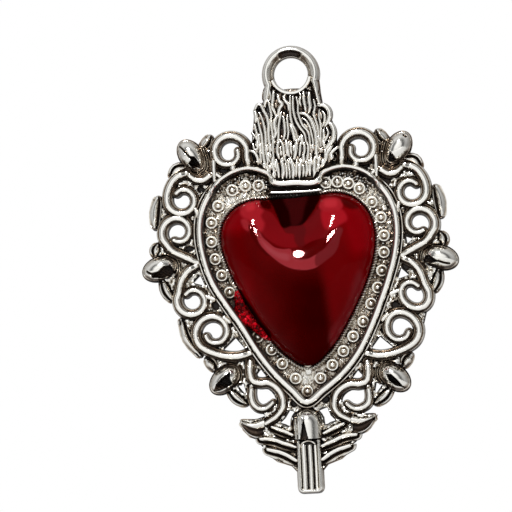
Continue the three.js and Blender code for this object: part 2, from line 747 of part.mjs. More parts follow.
// The plate behind a flank, open in the eyes of the volutes and at the piercings
function backing(side) {
  const eyes = SCROLLS.filter(({ volute }) => volute).map(({ volute }) => disc(
    flank(side, volute.centre), volute.radius - WIRE_WIDTH / 2, -1, KEEP_OUT_TOP, 16,
  ));
  const cuts = PIERCINGS.filter((piercing) => (piercing.side ?? side) === side)
    .map(({ outline }) => prism(outlineOf(side, outline), -1, KEEP_OUT_TOP));
  return prism(outlineOf(side, BACKING), 0, PLATE_THICK).subtract(joined([...eyes, ...cuts]));
}

const plate = joined([
  ...standing.map(({ footprint }) => footprint(LEDGE, 0, PLATE_THICK)),
  ...SIDES.map(backing),
  ...SIDES.map((side) => prism(outlineOf(side, WING), 0, PLATE_THICK)),
]).subtract(eyeBore);

// The border strip and what stands on it
const band = prism(rimOuter, PLATE_THICK, STRIP_TOP)
  .subtract(prism(seatLine, 0, KEEP_OUT_TOP));
const rim = ribbon(rimLine, {
  halfWidth: steady(RIM_WIDTH / 2), base: STRIP_TOP, rise: steady(RIM_RISE), closed: true,
});
const bezel = ribbon(bezelLine, {
  halfWidth: steady(BEZEL_WIDTH / 2), base: STRIP_TOP, rise: steady(BEZEL_RISE), closed: true,
});
const cleftBar = ribbon([vector([-2.7, -13.95]), vector([2.6, -14.0])], {
  halfWidth: steady(CLEFT_BAR_WIDTH / 2), base: STRIP_TOP, rise: steady(BEZEL_RISE),
});

// A low dome over an outline, which closes in on an inner outline of as many points
function dome(line, inner, base, shares, heightAt) {
  const rings = shares.map((share) => line.map((point, index) => point.clone()
    .lerp(inner[index], share)));
  const vertices = [
    ...line.flatMap(({ x, y }) => [x, y, base]),
    ...rings.flatMap((ring, level) =>
      ring.flatMap((point) => [point.x, point.y, base + heightAt(point, shares[level])])),
  ];
  const size = line.length;
  const faces = [];
  for (let level = 0; level < rings.length; level += 1) {
    for (let index = 0; index < size; index += 1) {
      const next = (index + 1) % size;
      const low = level * size;
      const high = low + size;
      faces.push(low + index, low + next, high + next, low + index, high + next, high + index);
    }
  }
  const top = rings.length * size;
  for (const [a, b, c] of THREE.ShapeUtils.triangulateShape(line, [])) faces.push(c, b, a);
  for (const [a, b, c] of THREE.ShapeUtils.triangulateShape(rings.at(-1), [])) {
    faces.push(top + a, top + b, top + c);
  }
  return meshed(vertices, faces);
}

const domed = (share) => (1 - (1 - share) ** 2.3) ** 0.6;
const shrunk = (line, middle, across, up) => line.map(({ x, y }) => new THREE.Vector2(
  middle.x + (x - middle.x) * across, middle.y + (y - middle.y) * up,
));

// Stone: two lobes with a valley between them that opens at the top edge
const stoneUp = [...stoneLine].reverse();
function stoneHeight(point, share) {
  const own = point.clone().rotateAround(stoneMiddle, THREE.MathUtils.degToRad(-STONE_TURN));
  const open = smooth(own.y, VALLEY_END, STONE_LINE[0][1]) ** 1.3;
  const valley = VALLEY_SHARE * open * Math.exp(-((own.x / VALLEY_WIDTH) ** 2));
  return GIRDLE + (STONE_RISE - GIRDLE) * domed(share) * (1 - valley);
}
const stone = dome(
  stoneUp, shrunk(stoneUp, stoneMiddle, 0.12, 0.25), STRIP_TOP,
  [0, 0.05, 0.12, 0.22, 0.35, 0.52, 0.74, 1], stoneHeight,
);
const bed = prism(offset(seatLine, -SEAM), PLATE_THICK, STRIP_TOP);

// Pool of enamel: a lens from the rim to the stone, over the bezel and round the bosses beside it
const poolLine = spaced(POOL_LINE.map((point) => flank(LEFT, point)), 0.9);
const poolHalf = (share) => (POOL_WIDTH / 2) * Math.sin(Math.PI * (0.06 + 0.88 * share));
const poolNormals = sideways(poolLine, false);
const poolSide = (way) => poolLine.map((point, index) => point.clone().addScaledVector(
  poolNormals[index], way * poolHalf(index / (poolLine.length - 1)),
));
const poolOutline = [...poolSide(1), ...poolSide(-1).reverse()];
const poolUp = THREE.ShapeUtils.isClockWise(poolOutline) ? poolOutline.reverse() : poolOutline;
const poolMiddle = poolLine[Math.floor(poolLine.length / 2)];

// Bosses, a pitch apart from the foot of the heart up to the lobes
function bossCentres() {
  const steps = 8;
  const line = spaced(offset(rimLine, -BEAD_INSET), BEAD_PITCH / steps, true);
  const foot = line.reduce((best, { y }, index) => (y < line[best].y ? index : best), 0);
  const centres = [line[foot]];
  for (const way of SIDES) {
    for (let index = foot + way * steps; ; index += way * steps) {
      const centre = line[(index + line.length) % line.length];
      if (centre.y > stoneMiddle.y && Math.abs(centre.x) < BEAD_REACH) break;
      centres.push(centre);
    }
  }
  return centres;
}

const lane = prism(offset(rimLine, -RIM_WIDTH / 2), 0, KEEP_OUT_TOP)
  .subtract(prism(offset(bezelLine, BEZEL_WIDTH / 2), 0, KEEP_OUT_TOP));

function boss(centre) {
  const radius = BEAD_DIAMETER / 2;
  const profile = [
    [0, -STRIP_THICK / 2], [radius, -STRIP_THICK / 2], [radius * 0.9, BEAD_RISE],
    [radius * 0.5, BEAD_RISE * 0.5], [0, BEAD_RISE * 0.9],
  ].map(vector);
  const turned = new THREE.LatheGeometry(profile, 8).rotateX(Math.PI / 2);
  return solidOf(turned.translate(centre.x, centre.y, STRIP_TOP)).intersect(lane);
}

const poolShape = new THREE.Box2().setFromPoints(poolOutline);
const inPool = (centre) => poolShape.containsPoint(centre)
  && poolLine.some((point) => point.distanceTo(centre) < POOL_WIDTH / 2);
const bosses = bossCentres().filter((centre) => !inPool(centre));
const border = joined([band, ...bosses.map(boss)]);
const spill = dome(
  poolUp, shrunk(poolUp, poolMiddle, 0.5, 0.5), STRIP_TOP, [0, 0.3, 1],
  (point, share) => POOL_RISE * (0.5 + 0.5 * domed(share)),
);
const pool = bosses.reduce(
  (left, centre) => left.subtract(
    disc(centre, BEAD_DIAMETER / 2 + SEAM / 2, PLATE_THICK, KEEP_OUT_TOP, 14),
  ),
  spill.intersect(prism(offset(rimLine, -RIM_WIDTH / 2), 0, KEEP_OUT_TOP))
    .subtract(prism(offset(bezelLine, -BEZEL_WIDTH / 2), 0, KEEP_OUT_TOP))
    .subtract(bezel),
);

const parts = [
  { name: "back_plate", material: antiqued, solid: refined(plate, FINEST_IN_PLATE) },
  { name: "heart_rim", material: polished, solid: refined(rim) },
  { name: "beaded_border", material: antiqued, solid: refined(border) },
  { name: "milled_bezel", material: antiqued, solid: refined(bezel) },
  { name: "cleft_bar", material: polished, solid: refined(cleftBar) },
  { name: "stone_cement", material: cement, solid: refined(bed) },
  { name: "heart_stone", material: redGlass, solid: refined(stone) },
  { name: "red_enamel_pool", material: redEnamel, solid: refined(largest(pool)) },
];

const keepOuts = [];
for (const { name, material, footprint, form } of standing) {
  if (form) {
    const whole = form();
    const box = whole.boundingBox();
    const near = keepOuts.filter(({ bounds }) =>
      bounds.min[0] < box.max[0] && bounds.max[0] > box.min[0]
      && bounds.min[1] < box.max[1] && bounds.max[1] > box.min[1]);
    const solid = largest(near.reduce((left, { body }) => left.subtract(body), whole));
    parts.push({ name, material, solid: refined(solid) });
  }
  const body = footprint(SEAM, PLATE_THICK - 0.5, KEEP_OUT_TOP);
  keepOuts.push({ body, bounds: body.boundingBox() });
}

// Stand the drawing up: its height becomes -Y and its up becomes +Z
const standingUp = new THREE.Group();
standingUp.matrixAutoUpdate = false;
standingUp.matrix.makeBasis(
  new THREE.Vector3(1, 0, 0), new THREE.Vector3(0, 0, 1), new THREE.Vector3(0, -1, 0),
).setPosition(0, (PLATE_THICK + EYE_RISE) / 2, 0);
for (const { name, material, solid } of parts) {
  const mesh = new THREE.Mesh(geometryOf(solid), material);
  mesh.name = name;
  standingUp.add(mesh);
}

const charm = new THREE.Group();
charm.add(standingUp);
export default charm;
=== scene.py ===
"""Sacred heart charm: the looks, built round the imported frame.

Shapes are drawn flat in millimetres, as (across, up, high), where high is the height above the
charm's back, and are stood up when they become objects. A flank point is (out, up), with out the
distance from the middle line, so one list serves the left side and the right.
"""

import math
import random

import bmesh
import bpy
import numpy as np
from mathutils import Matrix, Vector
from mathutils.noise import fractal


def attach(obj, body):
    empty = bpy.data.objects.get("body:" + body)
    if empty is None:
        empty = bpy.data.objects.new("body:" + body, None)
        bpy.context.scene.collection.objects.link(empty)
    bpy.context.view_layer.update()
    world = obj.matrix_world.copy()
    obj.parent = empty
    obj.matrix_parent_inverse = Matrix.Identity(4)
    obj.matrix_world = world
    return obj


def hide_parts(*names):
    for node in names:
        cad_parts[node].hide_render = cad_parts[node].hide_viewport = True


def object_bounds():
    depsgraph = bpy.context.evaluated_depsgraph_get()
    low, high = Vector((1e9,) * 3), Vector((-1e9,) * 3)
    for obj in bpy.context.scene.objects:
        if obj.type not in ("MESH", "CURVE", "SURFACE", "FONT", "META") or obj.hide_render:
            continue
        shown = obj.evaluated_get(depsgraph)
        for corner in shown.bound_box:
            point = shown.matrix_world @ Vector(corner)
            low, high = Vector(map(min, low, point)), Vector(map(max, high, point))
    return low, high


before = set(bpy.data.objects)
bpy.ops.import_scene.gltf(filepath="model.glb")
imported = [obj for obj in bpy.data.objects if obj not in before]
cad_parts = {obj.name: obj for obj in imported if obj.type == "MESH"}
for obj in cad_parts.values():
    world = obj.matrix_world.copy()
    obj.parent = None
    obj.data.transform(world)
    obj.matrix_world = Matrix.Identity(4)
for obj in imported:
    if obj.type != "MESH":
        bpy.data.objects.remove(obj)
CAD_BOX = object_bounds()

MM = 0.001
SAME_PLACE = 2e-7
NO_LENGTH = 1e-7
BACK = CAD_BOX[1].y / MM
LEFT, RIGHT = -1, 1
SIDES = (LEFT, RIGHT)
SIDE_NAME = {LEFT: "left", RIGHT: "right"}

# Heights above the back
FOOT = 0.06
PLATE_TOP = 0.9
STRIP_TOP = 1.3
STONE_TOP = 5.6

# Camera: the picture's middle and width in the drawing, and where it is seen from
VIEW_MIDDLE = (-5.19, -21.71)
VIEW_WIDTH = 61.44
VIEW_AZIMUTH = math.radians(3.5)
VIEW_ELEVATION = math.radians(-3.0)
VIEW_ROLL = math.radians(2.8)
CAMERA_DISTANCE = 450.0

# How far the right flank hangs below the left one, and leans out and down below the waist
HANG_DOWN = 0.35
LEAN_OUT = 0.95
LEAN_DOWN = 0.35

rng = random.Random(7)


# Drawing helpers

def smoothstep(value, start, end):
    t = np.clip((np.asarray(value, float) - start) / (end - start), 0, 1)
    return t * t * (3 - 2 * t)


def swell(share, start=0.0, power=1.0):
    """A rise and fall over the length of a line, which starts and ends part of the way up."""
    return np.sin(math.pi * (start + (1 - 2 * start) * share)) ** power


def arr(points):
    return np.asarray(points, float)


def flank(side, points):
    """Flank points in the drawing: the right side hangs lower and leans out below the waist."""
    points = arr(points).copy()
    out, up = points[:, 0].copy(), points[:, 1].copy()
    if side == LEFT:
        points[:, 0] = -out
        return points
    clear = smoothstep(up, -42.2, -39) * np.minimum(1, out / 5)
    lean = clear * (1 - smoothstep(up, -31, -24))
    points[:, 0] = out + LEAN_OUT * lean
    points[:, 1] = up - HANG_DOWN * clear - LEAN_DOWN * lean
    return points


def evenly(points, step=None, count=None):
    points = arr(points)
    ways = np.r_[0, np.cumsum(np.linalg.norm(np.diff(points[:, :2], axis=0), axis=1))]
    if count is None:
        count = max(4, round(ways[-1] / step))
    places = np.linspace(0, ways[-1], count + 1)
    return np.stack([np.interp(places, ways, column) for column in points.T], axis=1)


def through(points, step=0.15, closed=False, count=None):
    """A smooth curve through the points, in even steps, that never loops between them."""
    p = arr(points)
    if closed:
        ext = np.vstack([p[-1], p, p[0], p[1]])
    else:
        ext = np.vstack([2 * p[0] - p[1], p, 2 * p[-1] - p[-2]])
    share = np.linspace(0, 1, 16, endpoint=False)[:, None]
    fine = []
    for a, b, c, d in zip(ext, ext[1:], ext[2:], ext[3:]):
        t0, t1, t2 = (max(np.linalg.norm(v), 1e-6) ** 0.5 for v in (b - a, c - b, d - c))
        m1 = ((b - a) / t0 - (c - a) / (t0 + t1) + (c - b) / t1) * t1
        m2 = ((c - b) / t1 - (d - b) / (t1 + t2) + (d - c) / t2) * t1
        fine.append(b + share * m1 + share ** 2 * (3 * (c - b) - 2 * m1 - m2)
                    + share ** 3 * (2 * (b - c) + m1 + m2))
    fine.append(ext[-2][None])
    line = evenly(np.vstack(fine), step, count)
    return line[:-1] if closed else line


def tangents(line, closed):
    line = line[:, :2]
    if closed:
        way = np.roll(line, -1, 0) - np.roll(line, 1, 0)
    else:
        way = np.gradient(line, axis=0)
    return way / np.maximum(np.linalg.norm(way, axis=1), 1e-9)[:, None]


def sideways(line, closed):
    way = tangents(line, closed)
    return np.stack([-way[:, 1], way[:, 0]], axis=1)


def shifted(line, distance, closed=False):
    """The line moved to its left by a distance, which may change along it."""
    moved = line.copy()
    moved[:, :2] += sideways(line, closed) * np.reshape(distance, (-1, 1))
    return moved


def evenly_round(outline, count):
    """Points in even steps round a closed outline."""
    return evenly(np.vstack([outline, outline[:1]]), count=count)[:-1]


def raised(places, high):
    """Places of the drawing at one height, or each at its own."""
    return np.column_stack([places, np.broadcast_to(high, len(places))])


def heading(turn):
    return arr([math.cos(turn), math.sin(turn)])


def arc(centre, radius, start, end, count):
    turn = np.radians(np.linspace(start, end, count + 1))
    return arr(centre) + radius * np.stack([np.cos(turn), np.sin(turn)], axis=1)


# Skins: each returns (vertices, faces)

def skin(rings, closed=False):
    """Quads between rings of as many points, each of which closes on itself."""
    count, size = rings.shape[:2]
    index = np.arange(count * size).reshape(count, size)
    near = index if closed else index[:-1]
    far = np.roll(index, -1, 0) if closed else index[1:]
    quads = np.stack([near, far, np.roll(far, -1, 1), np.roll(near, -1, 1)], axis=-1)
    return rings.reshape(-1, 3), quads.reshape(-1, 4).tolist()


def capped(rings):
    """A skin with a face over its first ring and over its last."""
    points, faces = skin(rings)
    size = rings.shape[1]
    faces.append(list(range(size)))
    faces.append(list(range(len(points) - size, len(points))))
    return points, faces


def joined(*skins):
    vertices, faces, start = [], [], 0
    for points, quads in skins:
        vertices.append(points)
        faces += [[corner + start for corner in face] for face in quads]
        start += len(points)
    return np.vstack(vertices), faces


def ribbon(line, section, width=None, lift=None, closed=False):
    """A section of (offset, high) drawn along a line, with its ends turned round."""
    share = np.linspace(0, 1, len(line))
    wide = np.ones(len(line)) if width is None else width(share)
    high = np.ones(len(line)) if lift is None else lift(share)
    offset, rise = arr(section).T
    way, normal = tangents(line, closed), sideways(line, closed)

    def ring(index, turn, towards):
        across = offset * wide[index]
        place = line[index, :2] + across[:, None] * normal[index] * math.cos(turn)
        place = place + np.abs(across)[:, None] * way[index] * towards * math.sin(turn)
        tall = FOOT + (rise - FOOT) * high[index]
        if line.shape[1] > 2:
            tall = tall + line[index, 2] * (rise - FOOT) / (rise.max() - FOOT)
        return raised(place, tall)

    rings = [ring(index, 0, 0) for index in range(len(line))]
    if closed:
        return skin(np.array(rings), closed)
    turns = np.linspace(0, math.pi / 2, 7)[1:]
    start = [ring(0, turn, -1) for turn in turns[::-1]]
    end = [ring(len(line) - 1, turn, 1) for turn in turns]
    points, faces = capped(np.array(start + rings + end))
    faces[-1].reverse()
    return points, faces


INNERMOST = 0.999


def dome(outline, middle, height, rings, foot=FOOT):
    """A skin over an outline, whose height is given by a place and its share of the way in."""
    outline = arr(outline)[:, :2]
    middle = np.broadcast_to(arr(middle), outline.shape)
    layers = [raised(outline, foot)]
    for share in np.linspace(0, 1, rings + 1):
        place = outline + (middle - outline) * min(share, INNERMOST)
        layers.append(raised(place, height(place, share)))
    return capped(np.array(layers))


def loft(curves):
    """A skin through curves that lie side by side, each given as (across, up, high)."""
    lines = np.array([through(curve, count=40) for curve in curves])
    ext = np.concatenate([2 * lines[:1] - lines[1:2], lines, 2 * lines[-1:] - lines[-2:-1]])
    rows = []
    for a, b, c, d in zip(ext, ext[1:], ext[2:], ext[3:]):
        for t in np.arange(5) / 5:
            m1, m2 = (c - a) / 2, (d - b) / 2
            rows.append(b + t * m1 + t ** 2 * (3 * (c - b) - 2 * m1 - m2)
                        + t ** 3 * (2 * (b - c) + m1 + m2))
    rows.append(lines[-1])
    return capped(np.array(rows).transpose(1, 0, 2))


def both(half):
    """A half section from the crest outwards, mirrored to a whole one."""
    return arr([(-offset, high) for offset, high in reversed(half)] + list(half[1:]))


def scaled(section, width, top=None):
    section = arr(section).copy()
    section[:, 0] *= width
    if top is not None:
        section[:, 1] = FOOT + (section[:, 1] - FOOT) * (top - FOOT) / (section[:, 1].max() - FOOT)
    return section


# Objects

OBJECTS = []


def new_object(name, data):
    thing = bpy.data.objects.new(name, data)
    bpy.context.scene.collection.objects.link(thing)
    return thing


def stand_up(points):
    across, up, high = arr(points).T
    return np.stack([across, BACK - high, up], axis=1) * MM


def flat(thing):
    """A mesh's vertices in the drawing."""
    co = np.empty(len(thing.data.vertices) * 3, np.float32)
    thing.data.vertices.foreach_get("co", co)
    co = co.reshape(-1, 3).astype(float) / MM
    return np.stack([co[:, 0], co[:, 2], BACK - co[:, 1]], axis=1)


def piece(name, shape, material, slot, *nodes, sharp=40):
    """A piece of the charm, which stands for the nodes that it names."""
    points, faces = shape
    mesh = bpy.data.meshes.new(name)
    mesh.from_pydata(stand_up(points).tolist(), [], faces)
    work = bmesh.new()
    work.from_mesh(mesh)
    bmesh.ops.remove_doubles(work, verts=work.verts, dist=SAME_PLACE)
    bmesh.ops.dissolve_degenerate(work, edges=work.edges, dist=NO_LENGTH)
    bmesh.ops.recalc_face_normals(work, faces=work.faces)
    work.to_mesh(mesh)
    work.free()
    mesh.shade_smooth()
    mesh.set_sharp_from_angle(angle=math.radians(sharp))
    mesh.materials.append(material)
    thing = new_object(name, mesh)
    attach(thing, "root")
    if nodes:
        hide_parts(*nodes)
    OBJECTS.append(thing)
    return thing


def carry(thing, name, values):
    """Gives the mesh a value at each vertex, for its material."""
    layer = thing.data.attributes.new(name, "FLOAT", "POINT")
    layer.data.foreach_set("value", values.astype(np.float32))


# Materials

def new_material(name, **inputs):
    """A material and its shader, with the inputs given."""
    material = bpy.data.materials.new(name)
    material.use_nodes = True
    material.node_tree.nodes.clear()
    output = node(material, "ShaderNodeOutputMaterial")
    shader = node(material, "ShaderNodeBsdfPrincipled", **inputs)
    link(material, shader.outputs[0], output.inputs[0])
    return material, shader


def node(owner, kind, **inputs):
    made = owner.node_tree.nodes.new(kind)
    for key, value in inputs.items():
        made.inputs[key.replace("_", " ")].default_value = value
    return made


def link(owner, source, target):
    owner.node_tree.links.new(source, target)


def ramp(owner, source, stops):
    made = node(owner, "ShaderNodeValToRGB")
    while len(made.color_ramp.elements) < len(stops):
        made.color_ramp.elements.new(0.5)
    for element, (place, colour) in zip(made.color_ramp.elements, stops):
        element.position = place
        element.color = (*colour, 1)
    link(owner, source, made.inputs[0])
    return made.outputs[0]


def grey(value):
    return (value, value, value)


def in_place(material, texture):
    """The texture, laid on the object's own coordinates."""
    place = node(material, "ShaderNodeTexCoord")
    link(material, place.outputs["Object"], texture.inputs["Vector"])
    return texture


def noise(material, scale, detail=3.0, roughness=0.55):
    texture = node(material, "ShaderNodeTexNoise", Scale=scale, Detail=detail, Roughness=roughness)
    return in_place(material, texture).outputs["Fac"]


def maths(owner, operation, *values):
    made = node(owner, "ShaderNodeMath")
    made.operation = operation
    for index, value in enumerate(values):
        if isinstance(value, (int, float)):
            made.inputs[index].default_value = value
        else:
            link(owner, value, made.inputs[index])
    return made.outputs[0]


def carried(material, name):
    """A value that the mesh carries at its vertices."""
    made = node(material, "ShaderNodeAttribute")
    made.attribute_name = name
    return made.outputs["Fac"]


def bumped(material, shader, source, strength, distance):
    bump = node(material, "ShaderNodeBump", Strength=strength, Distance=distance)
    link(material, source, bump.inputs["Height"])
    link(material, bump.outputs[0], shader.inputs["Normal"])


def silver(name, dark=0.0, rough=0.17):
    """Antiqued silver: brown-black where it is hemmed in, polished where it stands free, and darker
    where shade is painted into the value it carries.
    """
    material, shader = new_material(name)
    blotches = maths(material, "MULTIPLY_ADD", noise(material, 1600, 5, 0.65), 0.36, -0.18 - dark)
    # The openness value holds the patina and painted shade, and both darken the colour
    amount = maths(material, "ADD", carried(material, "openness"), blotches)
    link(material, ramp(material, amount, [
        (0.19, (0.007, 0.004, 0.0025)),
        (0.34, (0.036, 0.021, 0.014)),
        (0.46, (0.22, 0.162, 0.118)),
        (0.60, (0.53, 0.478, 0.405)),
        (0.80, (0.92, 0.905, 0.855)),
    ]), shader.inputs["Base Color"])
    link(material, ramp(material, amount, [(0.22, grey(0.3)), (0.46, grey(1.0))]),
         shader.inputs["Metallic"])
    link(material, ramp(material, amount, [
        (0.25, grey(0.45)), (0.5, grey(0.28)), (0.8, grey(rough)),
    ]), shader.inputs["Roughness"])
    bumped(material, shader, noise(material, 1900, 4), 0.35, 0.05 * MM)
    return material


def stone_red():
    """Deep red glass, whose painted light and shade and painted pale reflection are carried by the
    mesh.
    """
    material, shader = new_material("stone_red", Roughness=0.05, IOR=1.5,
                                    Specular_Tint=(1, 0.35, 0.35, 1))
    painted_shading = carried(material, "painted_shading")
    cloud = maths(material, "MULTIPLY_ADD", noise(material, 420), 0.05, -0.025)
    # The red runs from dark to bright with the painted light and shade
    deep = ramp(material, maths(material, "ADD", painted_shading, cloud), [
        (0.0, (0.001, 0.0, 0.0)),
        (0.2, (0.020, 0.0, 0.0)),
        (0.3, (0.044, 0.0, 0.0)),
        (0.5, (0.125, 0.0, 0.001)),
        (0.7, (0.26, 0.002, 0.006)),
        (0.85, (0.40, 0.010, 0.017)),
        (1.0, (0.57, 0.025, 0.035)),
    ])
    # A painted pale reflection, laid over the red
    reflection_tint = ramp(material, carried(material, "painted_reflection"),
                [(0.0, grey(0.0)), (1.0, (0.04, 0.033, 0.038))])
    total = node(material, "ShaderNodeVectorMath")
    total.operation = "ADD"
    link(material, deep, total.inputs[0])
    link(material, reflection_tint, total.inputs[1])
    link(material, total.outputs[0], shader.inputs["Base Color"])
    link(material, ramp(material, painted_shading, [(0.24, grey(0.0)), (0.33, grey(0.05))]),
         shader.inputs["Specular IOR Level"])
    return material


def enamel_red():
    """Red enamel with glitter in it."""
    material, shader = new_material("enamel_red", Roughness=0.25, Specular_IOR_Level=0.04)
    grain = in_place(material, node(material, "ShaderNodeTexVoronoi", Scale=5200.0))
    shade = maths(material, "MULTIPLY_ADD", noise(material, 700, 2), 1.3, -0.62)
    glitter = maths(material, "MULTIPLY_ADD", grain.outputs["Color"], 0.72, shade)
    link(material, ramp(material, glitter, [
        (0.12, (0.016, 0.0, 0.0)), (0.4, (0.11, 0.0, 0.001)), (0.66, (0.44, 0.0, 0.006)),
        (0.8, (0.72, 0.005, 0.02)), (0.86, (1.0, 0.42, 0.42)),
    ]), shader.inputs["Base Color"])
    bumped(material, shader, grain.outputs["Distance"], 0.8, 0.08 * MM)
    return material


def cement_dark():
    """Dull brown cement."""
    material, shader = new_material("cement_dark", Roughness=0.85)
    link(material, ramp(material, noise(material, 900), [
        (0.3, (0.05, 0.03, 0.025)), (0.7, (0.12, 0.075, 0.06)),
    ]), shader.inputs["Base Color"])
    return material


POLISHED = silver("silver_polished")
ANTIQUED = silver("silver_antiqued", dark=-0.03, rough=0.24)
SMOKED = silver("silver_smoked", dark=0.12, rough=0.25)
MILLED = silver("silver_milled", dark=-0.1, rough=0.3)
PLATED = silver("silver_ground", dark=0.08, rough=0.3)
RELIEF = silver("silver_relief", dark=-0.12, rough=0.28)
STONE = stone_red()
ENAMEL = enamel_red()
CEMENT = cement_dark()


def polished(name, shape, *nodes, sharp=40):
    piece(name, shape, POLISHED, "polished_silver", *nodes, sharp=sharp)


def form(node_name, shape, sharp=40):
    """A polished piece that stands for one node."""
    polished(node_name + "_form", shape, node_name, sharp=sharp)


# Scroll wires

WIRE_WIDTH = 0.92
WIRE_FOOT = 0.285
COIL_PITCH = 1.14
WIRE_HALF = [
    (0, 2.25), (0.13, 2.235), (0.23, 2.18), (0.3, 2.07), (0.35, 1.9), (0.385, 1.7),
    (0.415, 1.56), (0.45, 1.54), (0.5, 1.62), (0.56, 1.64), (0.62, 1.52), (0.68, 1.25),
    (0.72, 0.85), (0.75, 0.4), (0.76, FOOT),
]
WIRE = both(WIRE_HALF)
SCROLLS = [
    {"name": "upper_curl", "stem": [(5.6, -10.7)],
     "volute": ((7.85, -9.1), 2.22, 195, -385, 0.95)},
    {"name": "curl_leg", "stem": [(9.75, -9.8), (9.75, -12.4)], "width": 0.6},
    {"name": "bud_cradle", "stem": [(10.1, -11.6), (11.2, -12.25), (12.1, -12.1), (12.75, -11.6)]},
    {"name": "shoulder_scroll", "stem": [(13.1, -11.3), (14.3, -11.7), (15.15, -12.7)],
     "volute": ((13.75, -14.45), 1.88, 15, -325, 0.8)},
    {"name": "side_scroll", "stem": [(12.3, -22.1), (13.9, -21.3), (15.2, -20.6)],
     "volute": ((14.5, -18.35), 1.98, -48, 345, 0.85)},
    {"name": "waist_scroll", "stem": [(12.5, -22.5), (13.4, -23.0), (14.3, -24.1)],
     "volute": ((13.1, -26.65), 1.9, 32, -345, 0.72)},
    {"name": "hip_scroll", "stem": [(6.5, -33.3), (8.0, -33.65), (9.6, -33.5)],
     "volute": ((10.75, -30.6), 2.3, -70, 405, 1.0)},
    {"name": "foot_scroll", "stem": [
        (6.55, -34.4), (6.6, -35.7), (6.3, -36.6), (5.5, -36.95), (4.5, -36.95), (3.6, -37.5),
        (3.0, -38.3), (2.8, -39.2), (3.0, -40.2), (3.8, -41.1), (5.0, -41.8)]},
    {"name": "foot_curl", "width": 0.7, "stem": [
        (6.5, -37.3), (6.6, -38.3), (6.4, -39.3), (5.8, -39.95), (5.1, -40.05), (4.5, -39.75),
        (4.05, -39.35)]},
]


def volute(centre, radius, start, turn, wind):
    """A spiral inwards over a turn in degrees; wind is its share of the usual pitch."""
    turns = abs(turn) / 360
    count = round(turns * 12)
    share = np.arange(count + 1) / count
    reach = radius - wind * COIL_PITCH * turns * share ** 1.3
    angle = np.radians(start + turn * share)
    return arr(centre) + np.stack([reach * np.cos(angle), reach * np.sin(angle)], axis=1)


def make_scrolls(side):
    """The scroll wires of one flank, each tapering towards its free end."""
    for scroll in SCROLLS:
        name = f"{scroll['name']}_{SIDE_NAME[side]}"
        points = arr(scroll["stem"])
        if "volute" in scroll:
            points = np.vstack([points, volute(*scroll["volute"])])
        line = through(flank(side, points), 0.14)
        half = scroll.get("width", WIRE_WIDTH) / 2
        reach = (half + WIRE_FOOT) / (WIRE_WIDTH / 2 + WIRE_FOOT)
        shape = ribbon(
            line, WIRE,
            width=lambda share: reach * (1 - 0.22 * smoothstep(share, 0.55, 1)),
            lift=lambda share: 1 - 0.15 * (1 - smoothstep(share, 0, 0.06)),
        )
        polished(name + "_wire", shape, name)


# Heart: rim, strip, beads, bezel, bars

RIM_LINE = [
    (0, -13.1), (2.3, -13.0), (3.6, -12.0), (5.6, -11.4), (7.6, -11.85), (9.35, -12.95),
    (10.75, -14.4), (11.6, -16.3), (11.9, -19), (11.5, -21.9), (10.6, -24.7), (9.0, -27.5),
    (7.4, -30.0), (5.7, -33.0), (3.9, -35.6), (1.7, -38.0), (0, -39.55),
]
STONE_LINE = [
    (0, -14.98), (1.7, -14.9), (3.4, -14.88), (5.2, -14.85), (7.2, -15.6), (8.7, -17.3),
    (9.3, -19.6), (9.0, -22.4), (8.0, -25.2), (5.4, -29.9), (2.6, -33.6), (0, -35.2),
]
STONE_TURN = math.radians(2.4)
STONE_MIDDLE = arr([0.05, -24])


def turned(points, angle, middle):
    c, s = math.cos(angle), math.sin(angle)
    return (arr(points) - middle) @ arr([[c, s], [-s, c]]) + middle


def whole_heart(points, place, step):
    """A closed heart, clockwise from its middle top, whose sides are placed by a function."""
    right = place(RIGHT, points)
    left = place(LEFT, points[1:-1])[::-1]
    return through(np.vstack([right, left]), step, closed=True)


def inward(line, distance):
    """A closed clockwise line, moved inwards."""
    return shifted(line, -1 * arr(distance), closed=True)


RIM_PATH = whole_heart(RIM_LINE, flank, 0.16)


def stone_side(side, points):
    """The stone's outline on one side, slimmer on the left below its widest place."""
    points = arr(points).copy()
    if side == LEFT:
        points[:, 0] -= 0.42 * smoothstep(points[:, 1], -31.5, -26) * (
            1 - smoothstep(points[:, 1], -22.4, -17.5))
    return turned(points * (side, 1), STONE_TURN, STONE_MIDDLE)


STONE_PATH = whole_heart(STONE_LINE, stone_side, 0.16)

RIM_SECTION = [
    (-0.56, STRIP_TOP - 0.1), (-0.54, 1.6), (-0.5, 2.0), (-0.42, 2.34), (-0.26, 2.52),
    (-0.06, 2.55), (0.12, 2.53), (0.25, 2.4), (0.32, 2.15), (0.36, 1.85), (0.39, 1.62),
    (0.43, 1.52), (0.48, 1.66), (0.56, 1.78), (0.66, 1.76), (0.75, 1.6), (0.81, 1.15),
    (0.84, 0.5), (0.85, FOOT),
]
# Over the lobes the crest lies further out, above a dark gutter
RIM_OVER_LOBES = [
    (-0.56, 1.1), (-0.46, 1.1), (-0.35, 1.12), (-0.24, 1.2), (-0.12, 1.45), (-0.04, 1.9),
    (0.02, 2.25), (0.1, 2.45), (0.24, 2.54), (0.42, 2.53), (0.53, 2.4), (0.6, 2.15), (0.65, 1.98),
    (0.7, 1.88), (0.75, 1.7), (0.79, 1.4), (0.82, 1.0), (0.84, 0.5), (0.85, FOOT),
]


def over_lobes(line):
    """How far a place of the rim is over a lobe, from 0 to 1."""
    out = np.abs(line[:, 0])
    return smoothstep(line[:, 1], -14.4, -12.4) * smoothstep(out, 2.5, 3.6)


def make_rim():
    share = over_lobes(RIM_PATH)[:, None, None]
    section = arr(RIM_SECTION) * (1 - share) + arr(RIM_OVER_LOBES) * share
    normal = sideways(RIM_PATH, closed=True)
    place = RIM_PATH[:, None] + normal[:, None] * section[..., :1]
    rings = np.concatenate([place, section[..., 1:]], axis=2)
    polished("heart_rim_wire", skin(rings, closed=True), "heart_rim")


